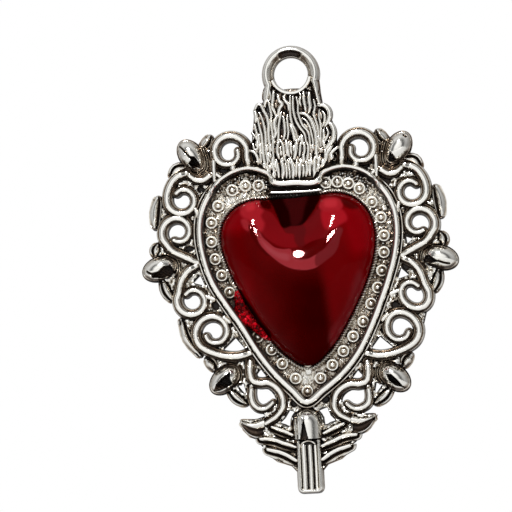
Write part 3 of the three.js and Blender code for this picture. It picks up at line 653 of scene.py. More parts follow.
def bead(centre):
    """A boss with a ring round a dot."""
    profile = [
        (0.86, STRIP_TOP - 0.12), (0.83, 1.36), (0.77, 1.52), (0.68, 1.64), (0.58, 1.66),
        (0.5, 1.58), (0.43, 1.46), (0.37, 1.41), (0.32, 1.45), (0.27, 1.55), (0.19, 1.68),
        (0.1, 1.72), (0.0, 1.72),
    ]
    rings = [raised(arc(centre, max(radius, 0.004), 0, 345, 23), high) for radius, high in profile]
    points, faces = skin(np.array(rings))
    faces.append(list(range(len(rings[0]))))
    return points, faces


def wedge(centre, way, size, high):
    """A small three-sided facet of the strip."""
    side = arr([-way[1], way[0]])
    corners = [centre + way * size, centre - way * size * 0.6 + side * size * 0.8,
               centre - way * size * 0.6 - side * size * 0.8]
    low = [(*corner, STRIP_TOP - 0.05) for corner in corners]
    top = [(*(centre + (corner - centre) * 0.35), STRIP_TOP + high) for corner in corners]
    faces = [[0, 1, 2], [3, 5, 4]] + [[k, (k + 1) % 3, (k + 1) % 3 + 3, k + 3] for k in range(3)]
    return arr(low + top), faces


# Bosses of the border, left of the middle line from the top down, then right of it
BEADS = [
    (-4.5, -13.2), (-6.1, -13.15), (-7.7, -13.6), (-9.5, -15.4), (-10.4, -17.4), (-10.5, -19.7),
    (-10.15, -21.8), (-9.45, -23.8), (-8.6, -25.9), (-5.5, -31.4), (-3.9, -33.0), (-2.7, -34.75),
    (-1.2, -36.6),
    (3.6, -13.3), (5.0, -13.25), (6.3, -13.5), (7.6, -14.2), (9.0, -15.9), (10.0, -17.8),
    (10.25, -20.0), (10.15, -22.0), (9.8, -24.2), (9.2, -26.2), (8.3, -28.1), (7.25, -30.2),
    (5.95, -31.9), (4.7, -33.6), (3.3, -35.2), (1.8, -36.7), (0.15, -38.2),
]


def smooth_random(shape, seed):
    """Random values with their neighbours' part in each, from -1 to 1."""
    values = np.random.default_rng(seed).uniform(-1, 1, shape)
    around = (np.roll(values, 1, 0) + np.roll(values, -1, 0)
              + np.roll(values, 1, 1) + np.roll(values, -1, 1)) / 4
    return (values + around) / 1.3


def strip_skin():
    """The grained strip between rim and stone, roughest where facets crowd over the lobes."""
    count, across = 900, 24
    outer = evenly_round(inward(RIM_PATH, 0.15 + 0.12 * over_lobes(RIM_PATH)), count)
    inner = evenly_round(inward(STONE_PATH, 0.5), count)
    grain = smooth_random((count, across + 1), 3)
    layers = [raised(outer, PLATE_TOP - 0.1)]
    for row, share in enumerate(np.linspace(0, 1, across + 1)):
        place = outer + (inner - outer) * share
        crowded = smoothstep(place[:, 1], -15.4, -13.6) * smoothstep(np.abs(place[:, 0]), 2.8, 3.4)
        high = STRIP_TOP + 0.06 * crowded + (0.1 + 0.1 * crowded) * grain[:, row]
        layers.append(raised(place, high))
    layers.append(raised(inner, PLATE_TOP - 0.1))
    return skin(np.array(layers))


def facets_between_beads():
    """A facet at the rim and one within, at each gap between neighbours."""
    shapes = []
    for first, second in zip(arr(BEADS), arr(BEADS)[1:]):
        if np.linalg.norm(second - first) > 3:
            continue
        middle = (first + second) / 2
        for distance, high, size in ((0.58, 0.5, 0.34), (1.62, 0.42, 0.28)):
            line = inward(RIM_PATH, distance)
            place = line[int(np.argmin(np.linalg.norm(line - middle, axis=1)))]
            way = middle - place
            shapes.append(wedge(place, way / max(np.linalg.norm(way), 1e-6), size, high))
    return shapes


def loose_facets():
    """Facets strewn in four rows over each lobe."""
    shapes = []
    for side in SIDES:
        for distance in (0.66, 0.98, 1.3, 1.62):
            line = inward(RIM_PATH, distance)
            near = arr([p for p in line if p[1] > -14.6 and 3.2 < side * p[0] < 8.6])
            near = near[np.argsort(near[:, 0])]
            for place in evenly(near, 0.5):
                way = heading(rng.uniform(0, 2 * math.pi))
                place = place + rng.uniform(-0.1, 0.1)
                size, high = rng.uniform(0.17, 0.3), rng.uniform(0.25, 0.5)
                shapes.append(wedge(place, way, size, high))
    return shapes


def make_border():
    beads = [bead(arr(centre)) for centre in BEADS]
    shape = joined(strip_skin(), *beads, *facets_between_beads(), *loose_facets())
    piece("border_strip", shape, ANTIQUED, "antiqued_silver", "beaded_border", sharp=22)


# Section of the bezel: offset, height and how much of a tooth's depth is cut there
BEZEL_SECTION = [
    (-0.36, STRIP_TOP - 0.1, 0), (-0.33, 1.5, 0.4), (-0.24, 1.75, 1), (-0.12, 1.92, 1),
    (0.0, 2.0, 1), (0.12, 1.94, 1), (0.22, 1.78, 1), (0.31, 1.5, 0.6),
    (0.34, STRIP_TOP - 0.1, 0),
]
TOOTH_PITCH = 0.34
TOOTH_DEPTH = 0.3
TOOTH_SLANT = 1.6


def make_bezel():
    """The bezel: a wire cut all round in slanting teeth, and a prong under the stone's foot."""
    step = 0.05
    line = through(inward(STONE_PATH, -0.30)[::4], step, closed=True)
    normal = sideways(line, closed=True)
    teeth = np.arange(len(line)) * step / TOOTH_PITCH
    layers = []
    for offset, high, share in BEZEL_SECTION:
        cut = np.abs(((teeth + offset * TOOTH_SLANT) % 1) * 2 - 1)
        layers.append(raised(line + normal * offset, high - TOOTH_DEPTH * share * cut))
    wire = skin(np.array(layers).transpose(1, 0, 2), closed=True)
    outline = evenly_round([(-0.3, -34.7), (0.95, -34.7), (0.8, -36.25), (0.1, -36.4)], 60)

    def height(place, share):
        return STRIP_TOP + 0.3 * domed(share) + 0.12 * (place[:, 1] + 36.4)

    prong = dome(outline, (0.35, -35.5), height, rings=10)
    piece("bezel_milled", joined(wire, prong), MILLED, "antiqued_silver", "milled_bezel",
          sharp=22)


def make_bar():
    """The small bar across the cleft."""
    bar = scaled(WIRE, 0.56, 2.0)
    line = through([(-3.0, -14.16), (-1.5, -14.22), (0, -14.24), (1.5, -14.22), (2.9, -14.16)])
    polished("cleft_bar_wire", ribbon(line, bar), "cleft_bar")


# Stone, its bed and the enamel

def domed(share):
    return (1 - (1 - share) ** 2.3) ** 0.6


STONE_GIRDLE = STRIP_TOP + 0.35
VALLEY_FOOT, VALLEY_HEAD = -25.0, -15.35
VALLEY_DEPTH = 0.853
VALLEY_WIDTH = 3.3
VALLEY_LEAN = 0.145
VALLEY_CROSSING = -18


def stone_height(place, share):
    """A dome that a valley parts into lobes, deepest at the cleft."""
    across, up = turned(place, -STONE_TURN, STONE_MIDDLE).T
    depth = VALLEY_DEPTH * smoothstep(up, VALLEY_FOOT, VALLEY_HEAD) ** 1.34
    away = across - VALLEY_LEAN * (up - VALLEY_CROSSING)
    valley = depth * np.exp(-((away / VALLEY_WIDTH) ** 2))
    return STONE_GIRDLE + (STONE_TOP - STONE_GIRDLE) * domed(share) * (1 - valley)


def spot(place, middle, reach):
    """A soft spot, 1 in its middle."""
    return np.exp(-np.linalg.norm((place - middle) / arr(reach), axis=1) ** 2)


# Painted light and shade and painted reflections in the glass, laid one over another: outline,
# level of light and shade, painted reflection and softness
GLASS_LIGHT_AND_SHADE = [
    # Painted light and shade on the lobes, left and right, with painted highlights on their caps
    ([(-9.2, -18.4), (-8.2, -16.4), (-6.6, -15.2), (-5.0, -15.0), (-5.6, -17.6), (-7.4, -18.8)],
     0.54, 0.0, 0.9),
    ([(5.4, -15.3), (7.4, -16.2), (8.8, -18.6), (8.6, -21.5), (6.4, -22.0), (5.4, -19.5)],
     0.54, 0.0, 0.9),
    ([(-4.4, -16.2), (-3.2, -16.5), (-2.3, -17.9), (-1.6, -18.9), (-0.6, -19.2), (-0.2, -20.7),
      (-2.2, -20.7), (-3.3, -20.1), (-4.3, -19.2), (-4.9, -18.0), (-4.7, -17.2)], 0.52, 0.08, 0.16),
    ([(0.3, -18.2), (1.5, -17.3), (2.4, -16.3), (3.0, -16.5), (2.9, -18.0), (3.4, -18.7),
      (3.1, -19.6), (2.8, -20.3), (0.9, -20.7), (0.3, -20.2)], 0.46, 0.08, 0.16),
    ([(2.8, -16.5), (5.2, -16.5), (5.8, -17.8), (4.9, -18.4), (4.2, -18.8), (3.1, -18.8),
      (2.7, -17.7)], 0.69, 0.1, 0.25),
    ([(-7.0, -16.0), (-6.3, -15.2), (-5.4, -14.9), (-4.5, -14.9), (-4.5, -15.8), (-4.1, -16.2),
      (-4.5, -16.8), (-4.1, -17.8), (-4.5, -18.7), (-4.9, -18.6), (-5.5, -17.6), (-6.3, -17.1),
      (-6.7, -16.9)], 0.69, 0.2, 0.24),
    ([(-6.9, -17.2), (-6.3, -17.1), (-5.9, -17.8), (-6.0, -18.6), (-6.6, -18.2)],
     0.62, 0.3, 0.2),
    ([(-6.2, -15.4), (-5.2, -15.3), (-5.3, -16.0), (-6.2, -16.1)], 0.80, 0.25, 0.3),
    ([(2.6, -15.7), (3.2, -15.1), (4.7, -15.1), (5.3, -15.7), (5.35, -16.2), (4.8, -16.65),
      (3.1, -16.65), (2.5, -16.2)], 0.69, 0.2, 0.2),
    ([(3.2, -15.4), (4.6, -15.4), (4.6, -16.1), (3.2, -16.1)], 0.80, 0.25, 0.3),
    ([(5.3, -15.2), (6.5, -15.6), (7.3, -16.4), (6.5, -16.6), (5.6, -16.2)], 0.33, 0.0, 0.2),
    ([(-4.5, -15.1), (-3.5, -15.1), (-3.2, -16.0), (-4.2, -15.8)], 0.24, 0.0, 0.08),
    ([(-6.0, -17.8), (-5.6, -18.2), (-5.1, -19.2), (-4.9, -19.9), (-4.3, -20.8), (-3.6, -21.8),
      (-4.3, -21.4), (-5.2, -20.3), (-5.8, -19.2)], 0.31, 0.0, 0.1),
    # Painted shade in the funnel under the cleft, and a painted pale reflection at its foot
    ([(-1.9, -18.3), (-0.6, -17.9), (0.4, -18.0), (0.8, -18.9), (0.5, -19.9), (0.6, -20.7),
      (-0.1, -20.8), (-0.6, -20.1), (-0.7, -19.2), (-1.6, -19.0)], 0.38, 0.1, 0.16),
    ([(-3.4, -14.6), (2.7, -14.6), (2.2, -15.9), (1.4, -17.0), (0.4, -18.1), (-0.9, -18.2),
      (-1.9, -18.4), (-2.5, -17.0), (-2.9, -15.9)], 0.07, 0.0, 0.13),
    ([(-1.7, -14.6), (1.2, -14.6), (0.8, -16.2), (0.2, -17.9), (-0.8, -18.2), (-1.1, -16.6)],
     0.23, 0.05, 0.2),
    # A painted reflection in a crescent, and painted shade in the patch in its bend
    ([(0.1, -21.0), (1.2, -20.3), (2.6, -19.9), (3.1, -19.8), (3.2, -20.7), (2.4, -21.5),
      (1.6, -22.0), (0.6, -22.3), (-0.3, -22.3), (-0.3, -21.5)], 0.34, 0.0, 0.08),
    ([(-5.1, -18.8), (-4.9, -20.0), (-4.2, -21.0), (-3.2, -22.0), (-2.2, -22.8), (-1.2, -23.3),
      (0.0, -23.55), (0.9, -23.55), (2.1, -23.1), (2.1, -21.8), (0.8, -22.25), (-0.3, -22.2),
      (-1.0, -21.9), (-1.1, -21.0), (-2.0, -20.95), (-3.0, -20.7), (-3.7, -20.1), (-4.4, -19.4),
      (-4.8, -18.7)], 0.61, 0.5, 0.09),
    ([(-4.6, -19.7), (-3.9, -20.4), (-2.6, -21.3), (-1.4, -21.6), (-1.4, -22.3), (-2.6, -22.0),
      (-3.8, -21.1)], 0.62, 0.9, 0.25),
    ([(1.8, -23.2), (3.2, -22.4), (4.0, -21.8), (4.5, -21.0), (4.8, -20.0), (5.2, -18.9),
      (4.6, -18.7), (4.0, -19.7), (3.4, -20.6), (2.8, -21.2), (1.8, -21.9)], 0.45, 0.25, 0.13),
    # Painted light along the lower edge on the right
    ([(6.9, -24.0), (7.6, -25.5), (6.3, -28.4), (4.7, -31.0), (3.5, -33.0), (3.0, -32.2),
      (3.3, -30.8), (4.6, -29.4), (5.6, -27.5), (6.1, -25.5)], 0.45, 0.15, 0.5),
    # Painted shadow in the gap between the glass and the enamel
    ([(-7.6, -25.4), (-6.8, -26.6), (-5.8, -28.2), (-5.0, -29.6), (-4.0, -31.0), (-4.2, -31.8),
      (-6.4, -29.4), (-8.2, -26.2)], 0.10, 0.0, 0.15),
]


def seen(place):
    """Where the camera sees places of the relief against the charm's back."""
    return place[:, :2] - place[:, 2:] * (math.tan(VIEW_AZIMUTH), math.tan(VIEW_ELEVATION))


def painted(values, place, outline, level, soft):
    """Values drawn to a level inside an outline with a soft edge."""
    line = through(outline, 0.3, closed=True)
    near = ((place > line.min(axis=0) - soft) & (place < line.max(axis=0) + soft)).all(axis=1)
    weight = smoothstep(distance_in(place[near], line), -soft, soft)
    values[near] += weight * (level - values[near])


def stone_painted_light(place):
    """How light and how hazy the glass looks at each place, as painted light and shade and a
    painted pale reflection.
    """
    place = seen(place)
    x, z = place.T
    # Painted shade low in the middle, a little painted light to the right, and painted spots of
    # light and shade
    low = (1 - smoothstep(z, -26.5, -21.0)) * (1 - 0.2 * smoothstep(-z, 29, 33))
    band = smoothstep(x, -6.5, 1.2) * (1 - smoothstep(x + 0.12 * (z + 27), 1.9, 3.6))
    painted_shading = 0.39 + 0.03 * smoothstep(x, 1.5, 4.0) - 0.19 * low * band
    for strength, middle, reach in (
            (-0.05, (-3.6, -23.6), (2.0, 2.2)), (-0.05, (-5.6, -21), (1.2, 3)),
            (0.08, (-6.7, -26.0), (1.0, 3.0)), (0.03, (-1.8, -31.6), (0.8, 1.4)),
            (0.07, (6.6, -26.5), (1.1, 3.0))):
        painted_shading += strength * spot(place, middle, reach)
    painted_reflection = np.zeros(len(place))
    # Patches of painted light, shade and reflection, laid one over another
    for outline, level, reflection_level, soft in GLASS_LIGHT_AND_SHADE:
        painted(painted_shading, place, outline, level, soft)
        painted(painted_reflection, place, outline, reflection_level, soft)
    return painted_shading, painted_reflection


# Two long polished facets below the lobes, where they lie, and the lamp that both mirror
FACETS = [
    [(-5.75, -17.95), (-5.3, -18.0), (-4.95, -18.6), (-4.75, -19.55), (-5.25, -19.15)],
    [(4.45, -18.7), (3.8, -19.0), (3.2, -19.7), (2.95, -20.65), (3.55, -20.3), (4.15, -19.5)],
]
FACETS_PLACE = (0, -0.019, 0.003)
STONE_LAMP = (-0.087, -0.342, 0.305)


def facetted(place, high):
    """The heights with each facet turned to mirror the stone's lamp to the camera."""
    lamp = arr([STONE_LAMP[0], STONE_LAMP[2], -STONE_LAMP[1]]) - FACETS_PLACE
    camera = arr([math.sin(VIEW_AZIMUTH), math.sin(VIEW_ELEVATION), math.cos(VIEW_AZIMUTH)])
    half = lamp / np.linalg.norm(lamp) + camera
    slope = -half[:2] / half[2]
    picture = seen(raised(place, high))
    for outline in FACETS:
        middle = arr(outline).mean(axis=0)
        near = int(np.argmin(np.linalg.norm(picture - middle, axis=1)))
        level = high[near] + (place - place[near]) @ slope
        weight = smoothstep(distance_in(picture, outline), -0.03, 0.06)
        high = high + weight * (level - high)
    return high


def make_stone():
    """The domed stone: layers from its outline in to a small heart, and on to its middle."""
    count = 560
    outline = evenly_round(STONE_PATH, count)
    middle = STONE_MIDDLE + (outline - STONE_MIDDLE) * (0.12, 0.25)
    layers = [raised(outline, STRIP_TOP - 0.2)]
    for share in np.linspace(0, 1, 93) ** 1.35:
        place = outline + (middle - outline) * share
        layers.append(raised(place, stone_height(place, share)))
    for share in np.linspace(0, 1, 15)[1:]:
        place = middle + (STONE_MIDDLE - middle) * min(share, 0.995)
        layers.append(raised(place, stone_height(place, 1)))
    points, faces = capped(np.array(layers))
    points[:, 2] = facetted(points[:, :2], points[:, 2])
    thing = piece("heart_stone_cut", (points, faces), STONE, "red_stone", "heart_stone", sharp=80)
    # The painted light and shade and the painted reflection, carried by the mesh
    for name, values in zip(("painted_shading", "painted_reflection"), stone_painted_light(flat(thing))):
        carry(thing, name, values)
    return thing


def make_bed():
    """Thin cement under the stone."""
    line = inward(STONE_PATH, 0.9)
    shape = dome(evenly(line, count=160), STONE_MIDDLE,
                 lambda place, share: np.full(len(place), STRIP_TOP), rings=3, foot=PLATE_TOP)
    piece("stone_bed", shape, CEMENT, "stone_cement", "stone_cement")


# Where the enamel lies over the border, at the lower left
POOL_OUTLINE = [
    (-7.9, -25.7), (-8.1, -26.6), (-8.1, -27.7), (-8.2, -28.6), (-7.9, -29.3), (-7.2, -29.9),
    (-6.3, -30.4), (-5.4, -31.2), (-4.4, -31.9), (-3.9, -31.9), (-5.2, -29.9), (-6.6, -27.6),
    (-7.6, -25.6),
]


def make_pool():
    """The enamel, lumpy and thickest in its middle."""
    ring = through(POOL_OUTLINE, closed=True, count=160)
    centre = arr([-6.7, -28.6])

    def height(place, share):
        lumps = 0.07 * np.sin(place[:, 0] * 9) * np.sin(place[:, 1] * 8)
        return STRIP_TOP + 1.15 * (0.3 + 0.7 * domed(share)) + lumps

    shape = dome(ring, centre + (ring - centre) * 0.35, height, rings=24, foot=STRIP_TOP - 0.1)
    piece("enamel_pool", shape, ENAMEL, "red_enamel", "red_enamel_pool")


# Suspension ring

EYE_RADIUS = 2.72
SILL_RADIUS = 2.34


def make_ring():
    """The eye: a broad wire whose inner slope widens at the top, with a sill under the bore."""
    right_leg = [(3.1, -3.7), (2.92, -2.9), (2.8, -2.2), (2.7, -1.5)]
    left_leg = [(-2.6, -2.0), (-2.85, -3.0), (-3.1, -3.7)]
    bow = arc((0, 0), EYE_RADIUS, -20, 205, 30)
    line = through(np.vstack([right_leg, bow, left_leg]), 0.14)
    section = arr([
        (0.67, FOOT), (0.665, 1.0), (0.64, 1.25), (0.57, 1.36), (0.45, 1.46), (0.32, 1.6),
        (0.18, 1.82), (0.07, 2.06), (-0.02, 2.2), (-0.15, 2.28), (-0.32, 2.27), (-0.44, 2.18),
        (-0.54, 2.0), (-0.62, 1.78), (-0.68, 1.54), (-0.73, 1.26), (-0.77, 0.95),
        (-0.8, 0.6), (-0.81, FOOT),
    ])

    def width(share):
        return 1 - 0.35 * (1 - smoothstep(share, 0.04, 0.24)) - 0.3 * smoothstep(share, 0.86, 1)

    arch, faces = ribbon(line, section, width=width)
    away, turn = np.hypot(arch[:, 0], arch[:, 1]), np.arctan2(arch[:, 1], arch[:, 0])
    hollow = smoothstep(away, 2.16, 2.3) * (1 - smoothstep(away, 2.66, 2.86))
    hollow *= 1 - smoothstep(np.abs(turn - math.pi / 2), 0.36, 0.62)
    arch[:, 2] -= 0.85 * hollow * np.maximum(arch[:, 2] - 0.95, 0)
    sill_section = both([(0, 2.1), (0.12, 2.08), (0.2, 1.98), (0.27, 1.75), (0.31, 1.3),
                         (0.32, FOOT)])
    sill = ribbon(through(arc((0, 0), SILL_RADIUS, 200, 346, 24), 0.14), sill_section)
    polished("eye_wire", joined((arch, faces), sill), "suspension_ring")


def make_drop():
    """A small loop beside the left leg, narrower at its top."""
    angle = np.arange(14) / 14 * 2 * math.pi
    across = -2.85 + 0.33 * (1 - 0.35 * np.sin(angle)) * np.cos(angle)
    line = through(np.stack([across, -2.35 + 0.78 * np.sin(angle)], axis=1), 0.08, closed=True)
    section = both([(0, 2.25), (0.08, 2.22), (0.14, 2.1), (0.18, 1.8), (0.2, 1.3), (0.21, FOOT)])
    polished("drop_loop", ribbon(line, section, closed=True), "ring_drop")


# Flame

FLAME_LEFT = [
    (2.2, -2.1), (3.2, -3.3), (4.0, -3.75), (4.4, -4.6), (4.55, -5.8), (4.75, -7.0),
    (4.85, -8.2), (4.7, -10.6), (2.6, -12.9),
]
FLAME_RIGHT = [
    (2.0, -2.0), (2.85, -3.3), (3.5, -4.0), (4.2, -4.45), (4.4, -5.2), (4.35, -5.9),
    (4.75, -6.5), (4.95, -7.5), (4.9, -8.6), (4.7, -10.6), (2.6, -12.9),
]
LICK = both([(0, 1.0), (0.06, 0.97), (0.115, 0.86), (0.155, 0.62), (0.18, 0.25), (0.19, -0.3)])
# Tongues of the flame, as the points that each one runs through, its width and its top
LICKS = [
    ([(-2.1, -2.0), (-2.2, -3.0), (-2.35, -3.9), (-2.1, -4.5), (-1.9, -5.2)], 1.0, 2.6),
    ([(-1.6, -2.5), (-1.5, -3.2), (-1.15, -3.6), (-1.5, -4.2), (-1.7, -5.2)], 1.15, 2.7),
    ([(-0.95, -2.7), (-0.8, -3.2), (-0.4, -3.7), (-0.35, -4.6)], 1.1, 2.6),
    ([(-0.15, -2.7), (-0.2, -4.0), (-0.2, -5.2), (0.0, -6.2), (0.35, -7.0), (0.5, -7.8)],
     0.85, 2.65),
    ([(0.2, -2.8), (0.15, -4.0), (0.25, -5.0), (0.5, -5.9), (0.95, -6.7), (1.4, -7.4), (1.5, -8.3)],
     0.9, 2.7),
    ([(0.6, -2.9), (0.75, -3.9), (0.72, -4.7), (0.9, -5.5), (1.2, -6.3), (1.8, -7.1), (1.95, -8.0),
      (2.0, -9.2)], 0.85, 2.65),
    ([(1.15, -2.7), (0.98, -3.4), (1.12, -4.0)], 0.8, 2.5),
    ([(1.5, -2.3), (1.5, -3.2), (1.6, -4.0), (1.65, -4.7)], 1.0, 2.6),
    ([(2.15, -2.4), (2.12, -3.4), (2.2, -4.1), (2.0, -4.9)], 1.1, 2.6),
    ([(0.95, -4.85), (1.5, -4.95), (2.1, -5.5), (2.5, -6.4), (2.72, -7.4), (2.75, -8.6),
      (2.6, -9.8)], 1.25, 2.8),
    ([(1.05, -5.45), (1.55, -5.7), (2.0, -6.4), (2.2, -7.3), (2.35, -8.3), (2.3, -9.4)], 0.85, 2.6),
    ([(1.3, -6.1), (1.65, -6.5), (1.9, -7.0)], 0.7, 2.5),
    ([(2.65, -3.3), (2.8, -4.2), (2.6, -4.9), (2.75, -5.7), (2.98, -6.6), (3.05, -8.0),
      (2.95, -9.3)], 0.9, 2.6),
    ([(3.2, -4.0), (3.85, -4.05), (4.35, -4.5), (4.52, -5.2), (4.3, -5.9), (3.9, -6.5)], 1.35, 2.6),
    ([(3.3, -4.5), (3.2, -5.4), (3.35, -6.3), (3.3, -7.6), (3.25, -9.0)], 0.8, 2.5),
    ([(3.6, -4.7), (3.9, -5.2), (3.85, -5.9), (3.5, -6.7)], 0.8, 2.5),
    ([(4.2, -6.0), (4.7, -6.5), (4.92, -7.3), (4.75, -8.2), (4.25, -8.8), (3.7, -9.4)], 1.35, 2.6),
    ([(4.05, -6.7), (4.22, -7.4), (3.95, -8.0), (3.5, -8.7)], 0.8, 2.5),
    ([(3.65, -7.0), (3.62, -7.9), (3.4, -8.6)], 0.7, 2.5),
    ([(4.6, -8.9), (4.0, -9.7), (3.7, -10.6), (3.1, -11.5)], 1.1, 2.5),
    ([(5.3, -9.1), (4.75, -9.5), (4.3, -10.0), (4.1, -10.8)], 1.0, 2.3),
    ([(-4.4, -4.0), (-4.1, -3.55), (-3.75, -3.6), (-3.4, -4.3), (-3.1, -4.9), (-2.9, -5.8),
      (-2.95, -7.2), (-2.88, -8.6), (-2.9, -10.0)], 1.05, 2.65),
    ([(-4.5, -4.2), (-4.35, -4.9), (-4.4, -5.6)], 1.1, 2.4),
    ([(-3.95, -4.5), (-3.65, -5.2), (-3.42, -6.2), (-3.3, -7.4), (-3.35, -9.0), (-3.2, -10.6)],
     0.95, 2.6),
    ([(-4.15, -5.2), (-4.0, -6.2), (-3.8, -7.2), (-3.72, -8.8), (-3.6, -10.4), (-3.1, -11.8)],
     0.95, 2.55),
    ([(-4.55, -5.9), (-4.4, -6.8), (-4.15, -7.8), (-4.05, -9.2), (-4.0, -10.6)], 0.9, 2.45),
    ([(-4.95, -6.9), (-4.6, -7.3), (-4.25, -8.1), (-4.35, -8.8), (-4.7, -8.9), (-4.9, -8.2)],
     0.8, 2.4),
    ([(-5.3, -9.0), (-4.8, -9.2), (-4.45, -9.8), (-4.35, -10.7)], 0.9, 2.2),
    ([(-2.75, -3.3), (-2.65, -4.0), (-2.5, -4.8), (-2.6, -5.6), (-2.5, -6.8), (-2.45, -8.0),
      (-2.5, -9.6), (-2.4, -11.0)], 0.9, 2.6),
    ([(-1.75, -4.9), (-2.05, -5.5), (-2.2, -6.1), (-2.05, -6.9), (-2.3, -7.7)], 1.25, 2.75),
    ([(-1.3, -4.6), (-1.55, -5.6), (-1.7, -6.4), (-1.75, -7.3), (-1.95, -8.3)], 0.9, 2.65),
    ([(-1.1, -5.1), (-0.98, -6.2), (-1.0, -7.2), (-1.2, -7.9)], 0.95, 2.65),
    ([(-0.62, -5.0), (-0.6, -6.0), (-0.55, -7.0), (-0.7, -7.9)], 0.85, 2.6),
    ([(-0.3, -6.1), (-0.1, -6.6), (0.1, -7.3), (0.12, -8.0)], 1.2, 2.75),
    ([(-1.95, -10.0), (-1.98, -9.0), (-1.85, -8.4), (-1.6, -7.9)], 0.95, 2.7),
    ([(-1.62, -9.9), (-1.6, -9.2), (-1.55, -8.6)], 0.85, 2.5),
    ([(-1.25, -10.0), (-1.22, -9.0), (-1.35, -8.4), (-1.6, -7.9)], 0.95, 2.7),
    ([(-0.8, -9.8), (-0.78, -8.9), (-0.9, -8.0)], 1.35, 2.75),
    ([(-0.3, -9.8), (-0.35, -9.0), (-0.3, -8.2)], 0.95, 2.6),
    ([(0.0, -10.3), (0.22, -9.3), (0.4, -8.0)], 1.2, 2.7),
    ([(0.62, -10.0), (0.75, -9.2), (0.85, -8.3)], 0.85, 2.6),
    ([(1.05, -10.2), (1.28, -9.2), (1.2, -8.2)], 0.9, 2.6),
    ([(1.5, -10.6), (1.72, -9.5), (1.7, -8.5)], 0.9, 2.6),
    ([(-2.35, -12.2), (-2.55, -11.4), (-2.85, -10.4)], 0.9, 2.45),
    ([(-1.95, -12.4), (-2.0, -11.4), (-2.2, -10.2)], 0.95, 2.5),
    ([(-1.5, -12.5), (-1.38, -11.4), (-1.6, -10.2)], 1.15, 2.65),
    ([(-1.05, -12.5), (-1.0, -11.6), (-1.1, -10.6)], 0.9, 2.5),
    ([(-0.65, -12.5), (-0.65, -11.6), (-0.8, -10.3)], 0.9, 2.5),
    ([(-0.25, -12.5), (-0.18, -11.4), (-0.45, -10.2)], 1.25, 2.65),
    ([(0.1, -12.4), (0.2, -11.3), (0.3, -10.4)], 0.9, 2.5),
    ([(0.5, -12.5), (0.6, -11.4), (0.85, -10.4)], 1.1, 2.6),
    ([(0.95, -12.4), (1.05, -11.6), (1.0, -10.9)], 0.85, 2.5),
    ([(1.3, -12.4), (1.48, -11.4), (1.3, -10.5)], 1.0, 2.5),
    ([(1.75, -12.3), (1.82, -11.3), (2.05, -10.3)], 1.0, 2.5),
    ([(2.25, -12.1), (2.35, -11.3), (2.5, -10.1)], 1.05, 2.55),
    ([(2.75, -11.9), (2.85, -11.0), (3.1, -10.0)], 1.0, 2.5),
    ([(-2.95, -11.9), (-3.2, -11.2), (-3.3, -10.3)], 0.8, 2.4),
]


def lick_section(top):
    section = LICK.copy()
    section[:, 1] = np.maximum(1.8 + section[:, 1] * (top - 1.8), 1.4)
    return section


def lick(points, width, top):
    return ribbon(
        through(points, 0.1), lick_section(top),
        width=lambda share: width * (0.55 + 0.5 * swell(share, 0.08, 0.7)),
        lift=lambda share: 0.9 + 0.1 * swell(share, power=0.6),
    )


def small_licks(outline):
    """Short pointed tongues that fill the flame between the long ones, row over row."""
    shapes = []
    rows, places = 16, 16
    for row in range(rows):
        foot = -12.4 + 0.6 * row
        for place in range(places):
            across = 0.62 * (place - 7.5 + 0.5 * (row % 2)) + rng.uniform(-0.2, 0.2)
            start = foot + rng.uniform(-0.25, 0.25)
            tall, bend = rng.uniform(0.9, 1.8), rng.uniform(-0.4, 0.4)
            width, lie = rng.uniform(0.9, 1.8), rng.uniform(-0.25, 0.25)
            points = arr([(across, start), (across + bend, start + tall * 0.5),
                          (across + 0.3 * bend, start + tall)])
            if distance_in(points, outline).min() < 0.3:
                continue
            top = 2.45 + lie if row < 8 else 2.2 + 0.5 * lie
            shapes.append(ribbon(
                through(points, 0.08), lick_section(top),
                width=lambda share: width * (0.1 + swell(share, 0.05)),
                lift=lambda share: 0.86 + 0.14 * swell(share),
            ))
    return shapes


def make_flame():
    right = arr(FLAME_RIGHT)
    left = (arr(FLAME_LEFT) * (-1, 1))[::-1]
    outline = through(np.vstack([right, left]), 0.12, closed=True)
    rings = 24
    grain = iter(smooth_random((len(outline), rings + 1), 11).T)

    def height(place, share):
        return 1.35 + 0.4 * smoothstep(share, 0.0, 0.06) + 0.14 * next(grain)

    shapes = [dome(outline, outline * (0.02, 0.1) + (0, -7.2), height, rings=rings)]
    shapes += small_licks(outline)
    shapes += [lick(points, 1.4 * width, top + 0.05) for points, width, top in LICKS]
    piece("flame_licks", joined(*shapes), SMOKED, "antiqued_silver", "flame_crest", sharp=50)


# Buds and leaves

BUD_SIZE = arr([2.0, 1.3])
ECHO_PITCH = 0.27
